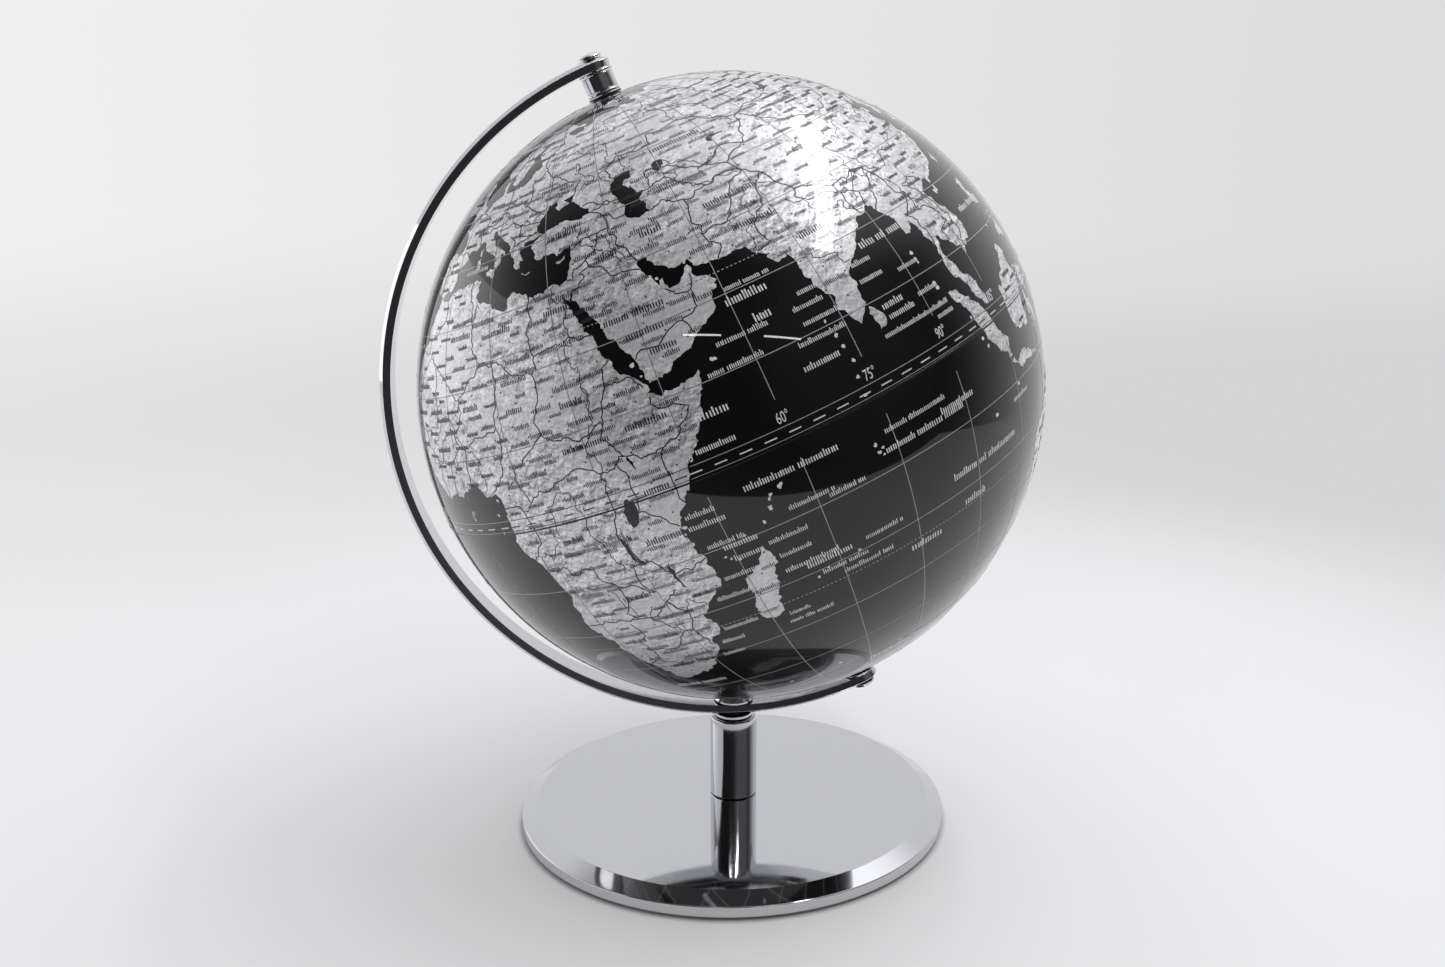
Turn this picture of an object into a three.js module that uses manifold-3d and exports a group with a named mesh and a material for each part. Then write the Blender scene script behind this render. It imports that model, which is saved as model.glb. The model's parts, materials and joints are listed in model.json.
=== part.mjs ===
// Desk globe on a chrome half-circle arc, a short post and a round bevelled base.
// Millimetres, +Z up. The origin is on the post's axis, at the underside of the foot pad.
// The arc stands in the XZ plane, and the globe's north pole leans towards -X.

import * as THREE from 'three';
import { mergeVertices } from 'three/addons/utils/BufferGeometryUtils.js';
import Module from 'manifold-3d';

const wasm = await Module();
wasm.setup();

// ---------------------------------------------------------------- driving dimensions

const GAP = 0.3; // between pieces that touch
const GLOBE_RADIUS = 120;
const AXIS_TILT = THREE.MathUtils.degToRad(23.5);

const PAD = { radius: 83.5, thickness: 0.8 };
const BASE = { radius: 86, sideHeight: 4.0, bevelWidth: 6.5, bevelDrop: 3.4, edge: 0.5 };
const POST = { radius: 9.5, height: 33.4, topBevel: 1.2, footBevel: 0.4, boreDepth: 13 };
const COLLAR = { radius: 7.8, thickness: 1.3 };
const BOLT = { radius: 4, clearance: 0.3 };
const SCREW = { headRadius: 6.5, headHeight: 3, socketRadius: 2.9, socketDepth: 1.8, reach: 11.5 };
const SCREW_WASHER = { radius: 7.6, thickness: 1.2 };
const COUNTERBORE = { radius: 8.2, depth: 5.2 };

const ARC = { innerRadius: 129.8, thickness: 4.2, width: 13.4, outerChamfer: 1.3, innerChamfer: 0.4 };
const CLAMP_NUT = { radius: 8, topRadius: 4.9, land: 0.8, height: 5.4, seatGap: 0.6 };

const PIN = { radius: 2.5, reach: 12, headRadius: 4.7, headLand: 0.4, headHeight: 2.3 };
const POLE_WASHER = { radius: 6.7, thickness: 0.85 };
const SPACER = { radius: 6.15, height: 6.0, edge: 0.35 };
const THRUST_RING = { radius: 6.3, thickness: 1.1 };
const BUSHING = { flangeRadius: 6.4, flangeThickness: 0.5, barrelRadius: 5.2, barrelLength: 12 };

const SHELL = { wall: 2.2, poleHoleRadius: 5.6 };
const COUPLING = { outerRadius: 117, wall: 1.8, halfHeight: 8 };

// How finely curves are cut up: sides of a round piece, and steps along a curved profile.
const ROUND = { big: 72, medium: 36, small: 24, globe: 64 };
const STEPS = { outerSkin: 14, innerSkin: 8, dome: 6, arc: 52, arcEnd: 5 };

// ---------------------------------------------------------------- heights from the floor up

const baseBottom = PAD.thickness + GAP;
const baseShoulder = baseBottom + BASE.sideHeight;
const baseTop = baseShoulder + BASE.bevelDrop;
const postBottom = baseTop + GAP;
const postTop = postBottom + POST.height;
const collarBottom = postTop + GAP;
const arcOuterRadius = ARC.innerRadius + ARC.thickness;
const arcBottom = collarBottom + COLLAR.thickness + GAP;
const globeCentre = arcBottom + arcOuterRadius;
const boltHole = BOLT.radius + BOLT.clearance;

// Distances from the globe's centre along its axis, for the pieces at each pole.
const flangeBottom = GLOBE_RADIUS + GAP / 2;
const flangeTop = flangeBottom + BUSHING.flangeThickness;
const ringBottom = flangeTop + GAP;
const spacerBottom = ringBottom + THRUST_RING.thickness + GAP;
const washerBottom = spacerBottom + SPACER.height + GAP;
const pinHeadBottom = arcOuterRadius + GAP;
const pinHole = PIN.radius + GAP;

// ---------------------------------------------------------------- solid helpers

/** Closed, welded copy of a geometry, with its faces turned outwards. */
function weld(geometry) {
  const bare = geometry.clone();
  bare.deleteAttribute('normal');
  bare.deleteAttribute('uv');
  const merged = mergeVertices(bare, 1e-4);
  const point = (index) => new THREE.Vector3().fromBufferAttribute(merged.attributes.position, index);
  const corners = merged.index.array;
  const kept = [];
  let volume = 0;
  for (let i = 0; i < corners.length; i += 3) {
    const [a, b, c] = corners.slice(i, i + 3);
    if (a === b || b === c || c === a) {
      continue;
    }
    kept.push([a, b, c]);
    volume += point(a).dot(point(b).cross(point(c)));
  }
  const facing = volume > 0 ? kept : kept.map(([a, b, c]) => [a, c, b]);
  merged.setIndex(facing.flat());
  return merged;
}

function toSolid(geometry) {
  const welded = weld(geometry);
  const vertProperties = Float32Array.from(welded.attributes.position.array);
  const triVerts = Uint32Array.from(welded.index.array);
  return new wasm.Manifold(new wasm.Mesh({ numProp: 3, vertProperties, triVerts }));
}

function fromSolid(solid) {
  const { vertProperties, triVerts } = solid.getMesh();
  const geometry = new THREE.BufferGeometry();
  geometry.setAttribute('position', new THREE.BufferAttribute(vertProperties, 3));
  geometry.setIndex(new THREE.BufferAttribute(triVerts, 1));
  return geometry;
}

function cut(body, ...tools) {
  const solid = tools.reduce((rest, tool) => rest.subtract(toSolid(tool)), toSolid(body));
  return fromSolid(solid);
}

/** Turns a profile of [radius, height] points about +Z. It ends on the axis or on its first point. */
function turned(profile, sides) {
  const points = profile.map(([radius, height]) => new THREE.Vector2(radius, height));
  return weld(new THREE.LatheGeometry(points, sides).rotateX(Math.PI / 2));
}

/** Round sleeve, with an optional chamfer on its outer edges. */
function sleeve(inner, outer, bottom, top, sides, edge = 0) {
  const profile = [[inner, bottom], [outer - edge, bottom], [outer, bottom + edge]];
  profile.push([outer, top - edge], [outer - edge, top], [inner, top], [inner, bottom]);
  return turned(profile, sides);
}

function rod(radius, bottom, top, sides = ROUND.small) {
  return turned([[0, bottom], [radius, bottom], [radius, top], [0, top]], sides);
}

/** Profile points on a circle about the origin, between two heights. */
function circleProfile(radius, fromHeight, toHeight, steps) {
  const start = Math.asin(fromHeight / radius);
  const end = Math.asin(toHeight / radius);
  return Array.from({ length: steps + 1 }, (_, i) => {
    const angle = THREE.MathUtils.lerp(start, end, i / steps);
    return [radius * Math.cos(angle), radius * Math.sin(angle)];
  });
}

// ---------------------------------------------------------------- materials

function finish(color, roughness, metalness) {
  return new THREE.MeshStandardMaterial({ color, roughness, metalness });
}

const CHROME = finish(0xd8dadd, 0.06, 1);
const STEEL = finish(0x9a9da0, 0.35, 1);
const FELT = finish(0x1b1b1c, 0.95, 0);
const GLOBE_SKIN = finish(0x1a1a1c, 0.12, 0);
const PLASTIC = finish(0x2a2a2c, 0.4, 0);

function piece(name, geometry, material) {
  const mesh = new THREE.Mesh(geometry, material);
  mesh.name = name;
  return mesh;
}

// ---------------------------------------------------------------- foot, base and post

function basePad() {
  return rod(PAD.radius, 0, PAD.thickness, ROUND.big);
}

function basePlate() {
  const topRadius = BASE.radius - BASE.bevelWidth;
  const seat = baseBottom + COUNTERBORE.depth;
  const inside = [[boltHole, seat], [COUNTERBORE.radius, seat], [COUNTERBORE.radius, baseBottom]];
  const rim = [[BASE.radius - BASE.edge, baseBottom], [BASE.radius, baseBottom + BASE.edge]];
  rim.push([BASE.radius, baseShoulder - BASE.edge], [BASE.radius - BASE.edge, baseShoulder + BASE.edge / 2]);
  const face = [[topRadius, baseTop], [boltHole, baseTop], [boltHole, seat]];
  return turned([...inside, ...rim, ...face], ROUND.big);
}

/** Low-head socket screw that goes up through the base into the post. */
function postScrew() {
  const headTop = baseBottom + COUNTERBORE.depth - SCREW_WASHER.thickness - 2 * GAP;
  const headBottom = headTop - SCREW.headHeight;
  const socketTop = headBottom + SCREW.socketDepth;
  const profile = [[0, socketTop], [SCREW.socketRadius, socketTop], [SCREW.socketRadius, headBottom]];
  profile.push([SCREW.headRadius, headBottom], [SCREW.headRadius, headTop], [BOLT.radius, headTop]);
  profile.push([BOLT.radius, postBottom + SCREW.reach], [0, postBottom + SCREW.reach]);
  return turned(profile, ROUND.small);
}

function postScrewWasher() {
  const top = baseBottom + COUNTERBORE.depth - GAP;
  return sleeve(boltHole, SCREW_WASHER.radius, top - SCREW_WASHER.thickness, top, ROUND.small);
}

/** Chromed round bar, with a threaded blind hole in each end. */
function post() {
  const { radius, topBevel, footBevel, boreDepth } = POST;
  const profile = [[0, postBottom + boreDepth], [boltHole, postBottom + boreDepth], [boltHole, postBottom]];
  profile.push([radius - footBevel, postBottom], [radius, postBottom + footBevel]);
  profile.push([radius, postTop - topBevel], [radius - topBevel, postTop], [boltHole, postTop]);
  profile.push([boltHole, postTop - boreDepth], [0, postTop - boreDepth]);
  return turned(profile, ROUND.medium);
}

/** Threaded stud that stands in the post and carries the collar, the arc and the clamp nut. */
function arcStud() {
  const top = globeCentre - ARC.innerRadius + CLAMP_NUT.seatGap + CLAMP_NUT.height - 2 * GAP;
  return rod(BOLT.radius, postTop - POST.boreDepth + GAP, top);
}

function postCollar() {
  return sleeve(boltHole, COLLAR.radius, collarBottom, collarBottom + COLLAR.thickness, ROUND.medium);
}

/** Conical nut that holds the arc down on the collar. */
function arcClampNut() {
  const { radius, topRadius, land, height, seatGap } = CLAMP_NUT;
  const bottom = globeCentre - ARC.innerRadius + seatGap;
  const profile = [[boltHole, bottom], [radius, bottom], [radius, bottom + land]];
  profile.push([topRadius, bottom + height], [boltHole, bottom + height], [boltHole, bottom]);
  return turned(profile, ROUND.medium);
}

// ---------------------------------------------------------------- arc

/**
 * Flat bar with round ends, bent about the Y axis through the -X side, from the +Z pole to the -Z pole.
 * Each level is a copy of the bar's outline at one radius, pulled in by an inset.
 */
function bentBar(levels, width) {
  const stations = [];
  for (let i = 0; i <= STEPS.arcEnd; i += 1) {
    stations.push({ turn: 0, reach: Math.cos((Math.PI / 2) * (i / STEPS.arcEnd)) });
  }
  for (let i = 1; i < STEPS.arc; i += 1) {
    stations.push({ turn: Math.PI * (i / STEPS.arc), reach: 0 });
  }
  for (let i = STEPS.arcEnd; i >= 0; i -= 1) {
    stations.push({ turn: Math.PI, reach: -Math.cos((Math.PI / 2) * (i / STEPS.arcEnd)) });
  }
  const positions = [];
  for (const { radius, inset } of levels) {
    const half = width / 2 - inset;
    for (const { turn, reach } of stations) {
      const angle = turn - (half * reach) / radius;
      const side = half * Math.sqrt(Math.max(0, 1 - reach * reach));
      const [x, z] = [-radius * Math.sin(angle), radius * Math.cos(angle)];
      positions.push(x, side, z, x, -side, z);
    }
  }
  const index = [];
  const quad = (a, b, c, d) => index.push(a, b, c, a, c, d);
  const vertex = (level, station, far) => 2 * (level * stations.length + station) + far;
  const last = levels.length - 1;
  for (let s = 0; s + 1 < stations.length; s += 1) {
    quad(vertex(0, s, 0), vertex(0, s + 1, 0), vertex(0, s + 1, 1), vertex(0, s, 1));
    quad(vertex(last, s, 0), vertex(last, s, 1), vertex(last, s + 1, 1), vertex(last, s + 1, 0));
    for (let l = 0; l < last; l += 1) {
      quad(vertex(l, s, 0), vertex(l + 1, s, 0), vertex(l + 1, s + 1, 0), vertex(l, s + 1, 0));
      quad(vertex(l, s, 1), vertex(l, s + 1, 1), vertex(l + 1, s + 1, 1), vertex(l + 1, s, 1));
    }
  }
  const geometry = new THREE.BufferGeometry();
  geometry.setAttribute('position', new THREE.Float32BufferAttribute(positions, 3));
  geometry.setIndex(index);
  return geometry;
}

function meridianArc() {
  const levels = [
    { radius: ARC.innerRadius, inset: ARC.innerChamfer },
    { radius: ARC.innerRadius + ARC.innerChamfer, inset: 0 },
    { radius: arcOuterRadius - ARC.outerChamfer, inset: 0 },
    { radius: arcOuterRadius, inset: ARC.outerChamfer },
  ];
  const bar = bentBar(levels, ARC.width);
  const poleHoles = rod(pinHole, -arcOuterRadius - GAP, arcOuterRadius + GAP);
  const studHole = rod(boltHole, ARC.innerRadius - ARC.thickness, arcOuterRadius + ARC.thickness);
  studHole.rotateY(Math.PI + AXIS_TILT);
  return cut(bar, poleHoles, studHole);
}

// ---------------------------------------------------------------- pieces at each pole

/** Dome-headed pin from outside the arc to inside the globe. */
function axlePin() {
  const { radius, reach, headRadius, headLand, headHeight } = PIN;
  const tip = GLOBE_RADIUS - reach;
  const profile = [[0, tip], [radius, tip], [radius, pinHeadBottom], [headRadius, pinHeadBottom]];
  for (let i = 0; i <= STEPS.dome; i += 1) {
    const angle = (Math.PI / 2) * (i / STEPS.dome);
    const rise = headLand + (headHeight - headLand) * Math.sin(angle);
    profile.push([headRadius * Math.cos(angle), pinHeadBottom + rise]);
  }
  return turned(profile, ROUND.small);
}

function poleWasher() {
  const top = washerBottom + POLE_WASHER.thickness;
  return sleeve(pinHole, POLE_WASHER.radius, washerBottom, top, ROUND.medium);
}

function poleSpacer() {
  const top = spacerBottom + SPACER.height;
  return sleeve(pinHole, SPACER.radius, spacerBottom, top, ROUND.medium, SPACER.edge);
}

function thrustRing() {
  const top = ringBottom + THRUST_RING.thickness;
  return sleeve(pinHole, THRUST_RING.radius, ringBottom, top, ROUND.medium);
}

/** Flanged plastic bush in the globe's pole hole. */
function poleBushing() {
  const { flangeRadius, barrelRadius, barrelLength } = BUSHING;
  const bottom = flangeBottom - barrelLength;
  const profile = [[pinHole, bottom], [barrelRadius, bottom], [barrelRadius, flangeBottom]];
  profile.push([flangeRadius, flangeBottom], [flangeRadius, flangeTop]);
  profile.push([pinHole, flangeTop], [pinHole, bottom]);
  return turned(profile, ROUND.small);
}

// ---------------------------------------------------------------- globe

function hemisphere() {
  const seam = GAP / 2;
  const innerRadius = GLOBE_RADIUS - SHELL.wall;
  const rim = (radius) => Math.sqrt(radius * radius - SHELL.poleHoleRadius * SHELL.poleHoleRadius);
  const outside = circleProfile(GLOBE_RADIUS, seam, rim(GLOBE_RADIUS), STEPS.outerSkin);
  const inside = circleProfile(innerRadius, seam, rim(innerRadius), STEPS.innerSkin).reverse();
  return turned([...outside, ...inside, outside[0]], ROUND.globe);
}

/** Inner band that both hemispheres are pressed over. */
function equatorCoupling() {
  const { outerRadius, wall, halfHeight } = COUPLING;
  return sleeve(outerRadius - wall, outerRadius, -halfHeight, halfHeight, ROUND.globe);
}

// ---------------------------------------------------------------- assembly

const globe = new THREE.Group();
globe.add(piece('base_pad', basePad(), FELT));
globe.add(piece('base_plate', basePlate(), CHROME));
globe.add(piece('post_screw', postScrew(), STEEL));
globe.add(piece('post_screw_washer', postScrewWasher(), STEEL));
globe.add(piece('post', post(), CHROME));
globe.add(piece('post_collar', postCollar(), CHROME));
globe.add(piece('arc_stud', arcStud(), STEEL));
globe.add(piece('arc_clamp_nut', arcClampNut(), CHROME));

const tilted = new THREE.Group();
tilted.position.z = globeCentre;
tilted.rotation.y = -AXIS_TILT;
tilted.add(piece('meridian_arc', meridianArc(), CHROME));
tilted.add(piece('equator_coupling', equatorCoupling(), PLASTIC));

for (const [pole, turn] of [['north', 0], ['south', Math.PI]]) {
  const end = new THREE.Group();
  end.rotation.y = turn;
  end.add(piece(`${pole}_hemisphere`, hemisphere(), GLOBE_SKIN));
  end.add(piece(`${pole}_pole_bushing`, poleBushing(), PLASTIC));
  end.add(piece(`${pole}_thrust_ring`, thrustRing(), CHROME));
  end.add(piece(`${pole}_spacer`, poleSpacer(), CHROME));
  end.add(piece(`${pole}_washer`, poleWasher(), CHROME));
  end.add(piece(`${pole}_axle_pin`, axlePin(), CHROME));
  tilted.add(end);
}
globe.add(tilted);

export default globe;
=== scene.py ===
"""Looks of the desk globe: a chromed stand and arc, and a black and silver globe with its printed map.

Lengths in this script are millimetres until a mesh is made, and Blender gets metres. Globe pieces are
made about the globe's own centre, with +Z towards its north pole, and TILTED puts them in place.
"""

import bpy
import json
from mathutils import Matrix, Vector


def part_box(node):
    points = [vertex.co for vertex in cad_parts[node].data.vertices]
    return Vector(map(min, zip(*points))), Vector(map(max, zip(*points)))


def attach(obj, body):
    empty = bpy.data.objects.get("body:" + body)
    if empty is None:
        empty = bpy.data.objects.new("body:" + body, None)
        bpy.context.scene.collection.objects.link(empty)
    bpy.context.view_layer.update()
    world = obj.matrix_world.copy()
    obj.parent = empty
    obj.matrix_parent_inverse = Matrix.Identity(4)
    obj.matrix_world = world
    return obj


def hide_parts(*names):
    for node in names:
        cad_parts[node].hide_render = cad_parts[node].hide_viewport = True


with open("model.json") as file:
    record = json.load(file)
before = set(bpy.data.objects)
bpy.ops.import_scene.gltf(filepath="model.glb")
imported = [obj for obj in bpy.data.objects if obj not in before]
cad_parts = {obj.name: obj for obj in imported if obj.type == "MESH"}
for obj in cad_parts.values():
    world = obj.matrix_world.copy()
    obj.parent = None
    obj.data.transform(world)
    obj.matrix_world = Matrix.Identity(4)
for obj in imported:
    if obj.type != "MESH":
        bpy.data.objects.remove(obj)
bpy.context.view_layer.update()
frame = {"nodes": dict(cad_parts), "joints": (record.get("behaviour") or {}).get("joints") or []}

import json
import math
import random

import bpy
import numpy as np
from mathutils import Matrix, Vector
from mathutils.geometry import delaunay_2d_cdt

MM = 0.001

# ---------------------------------------------------------------- sizes from the frame


def box_mm(node):
    """Lowest and highest corner of a CAD node, in millimetres."""
    return [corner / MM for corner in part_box(node)]


def turned_sizes(node, place):
    """Inner and outer radius, bottom and top of a CAD node about the +Z of a place, in millimetres."""
    back = place.inverted()
    spots = np.array([back @ (vertex.co / MM) for vertex in frame["nodes"][node].data.vertices])
    radii = np.hypot(spots[:, 0], spots[:, 1])
    return radii.min(), radii.max(), spots[:, 2].min(), spots[:, 2].max()


JOINTS = {joint["name"]: joint for joint in frame["joints"]}
SPIN_AXIS = Vector(JOINTS["globe_spin"]["axis"])
AXIS_TILT = math.atan2(-SPIN_AXIS.x, SPIN_AXIS.z)
GLOBE_CENTRE = Vector(JOINTS["globe_spin"]["pos_m"]) / MM
GLOBE_RADIUS = box_mm("north_hemisphere")[1].y

TILTED = Matrix.Translation(GLOBE_CENTRE) @ Matrix.Rotation(-AXIS_TILT, 4, "Y")
UPRIGHT = Matrix.Identity(4)
POLE_PLACES = {"north": TILTED, "south": TILTED @ Matrix.Rotation(math.pi, 4, "Y")}

# ---------------------------------------------------------------- shader helpers


def add(tree, kind, inputs=None, **settings):
    """A new shader node. Inputs are sockets to link from, or plain values."""
    node = tree.nodes.new("ShaderNode" + kind)
    for key, value in settings.items():
        setattr(node, key, value)
    for key, value in (inputs or {}).items():
        if isinstance(value, bpy.types.NodeSocket):
            tree.links.new(value, node.inputs[key])
        else:
            node.inputs[key].default_value = value
    return node


def math_node(tree, operation, *values):
    return add(tree, "Math", dict(enumerate(values)), operation=operation).outputs[0]


def ramp(tree, value, low, high, to_low=0.0, to_high=1.0, kind="SMOOTHSTEP"):
    inputs = {"Value": value, "From Min": low, "From Max": high, "To Min": to_low, "To Max": to_high}
    return add(tree, "MapRange", inputs, interpolation_type=kind).outputs["Result"]


def noise(tree, where, scale, detail=3.0, roughness=0.5):
    inputs = {"Vector": where, "Scale": scale, "Detail": detail, "Roughness": roughness}
    return add(tree, "TexNoise", inputs).outputs["Fac"]


def stretched(tree, where, scale):
    return add(tree, "Mapping", {"Vector": where, "Scale": scale}).outputs["Vector"]


def shades(tree, factor, dark, light):
    """A colour between two colours."""
    node = add(tree, "Mix", data_type="RGBA")
    tree.links.new(factor, node.inputs[0])
    node.inputs[6].default_value = (*dark, 1)
    node.inputs[7].default_value = (*light, 1)
    return node.outputs[2]


def bump(tree, height, distance, strength=1.0):
    return add(tree, "Bump", {"Height": height, "Distance": distance, "Strength": strength}).outputs["Normal"]


def material(name, **settings):
    """A material with one Principled shader. Settings are that shader's own socket values."""
    made = bpy.data.materials.new(name)
    made.use_nodes = True
    tree = made.node_tree
    shader = tree.nodes["Principled BSDF"]
    for key, value in settings.items():
        shader.inputs[key.replace("_", " ")].default_value = value
    where = add(tree, "TexCoord").outputs["Object"]
    return made, tree, shader, where


def feed(tree, shader, **sockets):
    for key, value in sockets.items():
        tree.links.new(value, shader.inputs[key.replace("_", " ")])


# ---------------------------------------------------------------- materials


def chrome(name, tint=(0.64, 0.645, 0.67), roughness=0.05, brushed=0.0):
    """Plated chrome with faint wiping smears and hairline scratches, and brushed sides if asked for."""
    made, tree, shader, where = material(name, Metallic=1.0)
    shader.inputs["Base Color"].default_value = (*tint, 1)
    smear = ramp(tree, noise(tree, where, 22, 6, 0.62), 0.52, 0.8)
    fine = noise(tree, stretched(tree, where, (900, 90, 900)), 4, 2)
    gloss = math_node(tree, "MULTIPLY_ADD", smear, 0.05, roughness)
    height = math_node(tree, "MULTIPLY", fine, 0.12)
    if brushed:
        facing = add(tree, "NewGeometry").outputs["Normal"]
        upright = add(tree, "SeparateXYZ", {"Vector": facing}).outputs["Z"]
        side = ramp(tree, math_node(tree, "ABSOLUTE", upright), 0.3, 0.05)
        grain = noise(tree, stretched(tree, where, (1, 1, 0.12)), 1500, 3)
        height = math_node(tree, "MULTIPLY_ADD", math_node(tree, "MULTIPLY", grain, side), 6.0, height)
        gloss = math_node(tree, "MULTIPLY_ADD", side, brushed, gloss)
    feed(tree, shader, Roughness=gloss, Normal=bump(tree, height, 0.00002, 0.25))
    return made


def turned_steel():
    made, tree, shader, where = material("turned_steel", Metallic=1.0)
    rings = noise(tree, stretched(tree, where, (60, 60, 4200)), 1, 4)
    feed(tree, shader, Base_Color=shades(tree, rings, (0.33, 0.34, 0.35), (0.5, 0.51, 0.52)))
    feed(tree, shader, Roughness=ramp(tree, rings, 0.3, 0.7, 0.25, 0.42), Normal=bump(tree, rings, 0.00003))
    return made


def felt():
    made, tree, shader, where = material("felt", Roughness=1.0, Sheen_Weight=0.4, Sheen_Roughness=0.5)
    fibres = noise(tree, where, 2600, 5, 0.7)
    patches = noise(tree, where, 60, 3)
    mixed = math_node(tree, "MULTIPLY_ADD", patches, 0.4, fibres)
    feed(tree, shader, Base_Color=shades(tree, mixed, (0.006, 0.006, 0.007), (0.05, 0.05, 0.052)))
    feed(tree, shader, Normal=bump(tree, fibres, 0.0003))
    return made


def moulded_plastic():
    made, tree, shader, where = material("moulded_plastic", IOR=1.5)
    grain = noise(tree, where, 900, 3)
    patches = noise(tree, where, 80)
    feed(tree, shader, Base_Color=shades(tree, patches, (0.02, 0.02, 0.022), (0.035, 0.035, 0.037)))
    feed(tree, shader, Roughness=ramp(tree, grain, 0.2, 0.8, 0.35, 0.5), Normal=bump(tree, grain, 0.00005))
    return made


def print_surface(name, **settings):
    """Material of the printed sheet on the globe: ink under one glossy lacquer."""
    made, tree, shader, where = material(
        name, Coat_Weight=1.0, Coat_Roughness=0.012, Coat_IOR=1.45, Roughness=0.38,
        Specular_IOR_Level=0.1, **settings)
    orange_peel = noise(tree, where, 120, 2)
    feed(tree, shader, Coat_Normal=bump(tree, orange_peel, 0.00003, 0.15))
    return made, tree, shader, where


def ocean_ink():
    made, tree, shader, where = print_surface("ocean_ink")
    dust = ramp(tree, noise(tree, where, 70, 6, 0.7), 0.62, 0.86)
    tint = math_node(tree, "MULTIPLY_ADD", noise(tree, where, 18, 3), 0.5, dust)
    feed(tree, shader, Base_Color=shades(tree, tint, (0.0016, 0.0016, 0.0018), (0.007, 0.007, 0.008)))
    return made


def land_ink():
    """Silver ink with printed relief: the slope of two noises, shaded as if lit from one side."""
    made, tree, shader, where = print_surface("land_ink", Metallic=0.35)
    shift = add(tree, "VectorMath", {0: where, 1: (-0.0004, 0.0, 0.0005)}, operation="ADD").outputs[0]
    relief = 0.0
    for scale, detail, share in ((75, 7, 4.6), (240, 6, 4.0)):
        here = noise(tree, where, scale, detail, 0.62)
        beside = noise(tree, shift, scale, detail, 0.62)
        lit = math_node(tree, "SUBTRACT", here, beside)
        relief = math_node(tree, "MULTIPLY_ADD", lit, share, relief)
    plains = ramp(tree, noise(tree, where, 34, 3), 0.35, 0.65, 0.25, 1.0)
    relief = math_node(tree, "MULTIPLY", relief, plains)
    height = noise(tree, where, 15, 4, 0.55)
    tone = math_node(tree, "MULTIPLY_ADD", height, 0.35, math_node(tree, "ADD", relief, 0.42))
    speckle = ramp(tree, noise(tree, where, 1400, 2), 0.3, 0.75, -0.06, 0.06)
    tone = math_node(tree, "ADD", tone, speckle)
    feed(tree, shader, Base_Color=shades(tree, tone, (0.11, 0.11, 0.12), (0.86, 0.86, 0.88)))
    return made


def line_ink(name, colour):
    """Ink of the map's lines, a little broken up as thin print is."""
    made, tree, shader, where = print_surface(name)
    wear = ramp(tree, noise(tree, where, 500, 3), 0.3, 0.7)
    feed(tree, shader, Base_Color=shades(tree, wear, tuple(0.75 * c for c in colour), colour))
    return made


CHROME = chrome("chrome")
BASE_CHROME = chrome("base_chrome", brushed=0.16)
ARC_CHROME = chrome("arc_chrome", tint=(0.62, 0.625, 0.66), roughness=0.055)
STEEL = turned_steel()
FELT = felt()
PLASTIC = moulded_plastic()
OCEAN = ocean_ink()
LAND = land_ink()
PALE_LINE = line_ink("pale_line_ink", (0.33, 0.30, 0.30))
WHITE_LINE = line_ink("white_line_ink", (0.62, 0.62, 0.64))
DARK_LINE = line_ink("dark_line_ink", (0.035, 0.035, 0.04))
GREY_LINE = line_ink("grey_line_ink", (0.2, 0.2, 0.21))

# ---------------------------------------------------------------- mesh helpers


def make_piece(name, points, faces, normals, finish, body, place=UPRIGHT, stands_for=()):
    """Mesh piece from points in millimetres and one normal for each corner of each face."""
    mesh = bpy.data.meshes.new(name)
    turn = np.array(place.to_3x3())
    moved = np.asarray(points) @ turn.T + np.array(place.translation)
    mesh.from_pydata((moved * MM).tolist(), [], faces)
    mesh.shade_smooth()
    mesh.normals_split_custom_set((np.asarray(normals) @ turn.T).tolist())
    mesh.materials.append(finish)
    piece = bpy.data.objects.new(name, mesh)
    bpy.context.scene.collection.objects.link(piece)
    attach(piece, body)
    if stands_for:
        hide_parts(*stands_for)
    return piece


def filleted(corners, steps=5):
    """Turns corners (x, y, fillet radius) into (point, normal) steps along the outline.

    The normal points to the right of the way the outline runs. A corner without a fillet stays sharp,
    so it gives two steps at one point. Ends are left as they are.
    """
    spots = [np.array(corner[:2], float) for corner in corners]
    ways = [(b - a) / np.linalg.norm(b - a) for a, b in zip(spots, spots[1:])]
    outline = [(spots[0], ways[0])]
    for i in range(1, len(spots) - 1):
        before, after = ways[i - 1], ways[i]
        radius = corners[i][2] if len(corners[i]) > 2 else 0
        bend = math.atan2(before[0] * after[1] - before[1] * after[0], before @ after)
        reach = radius * math.tan(abs(bend) / 2)
        start = spots[i] - before * reach
        if not radius:
            outline += [(start, before), (start, after)]
            continue
        side = math.copysign(1, bend)
        hub = start + side * radius * np.array((-before[1], before[0]))
        for k in range(steps + 1):
            turn = bend * k / steps
            way = np.array((before[0] * math.cos(turn) - before[1] * math.sin(turn),
                            before[0] * math.sin(turn) + before[1] * math.cos(turn)))
            outline.append((hub + side * radius * np.array((way[1], -way[0])), way))
    outline.append((spots[-1], ways[-1]))
    return [(point, np.array((way[1], -way[0]))) for point, way in outline]


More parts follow.
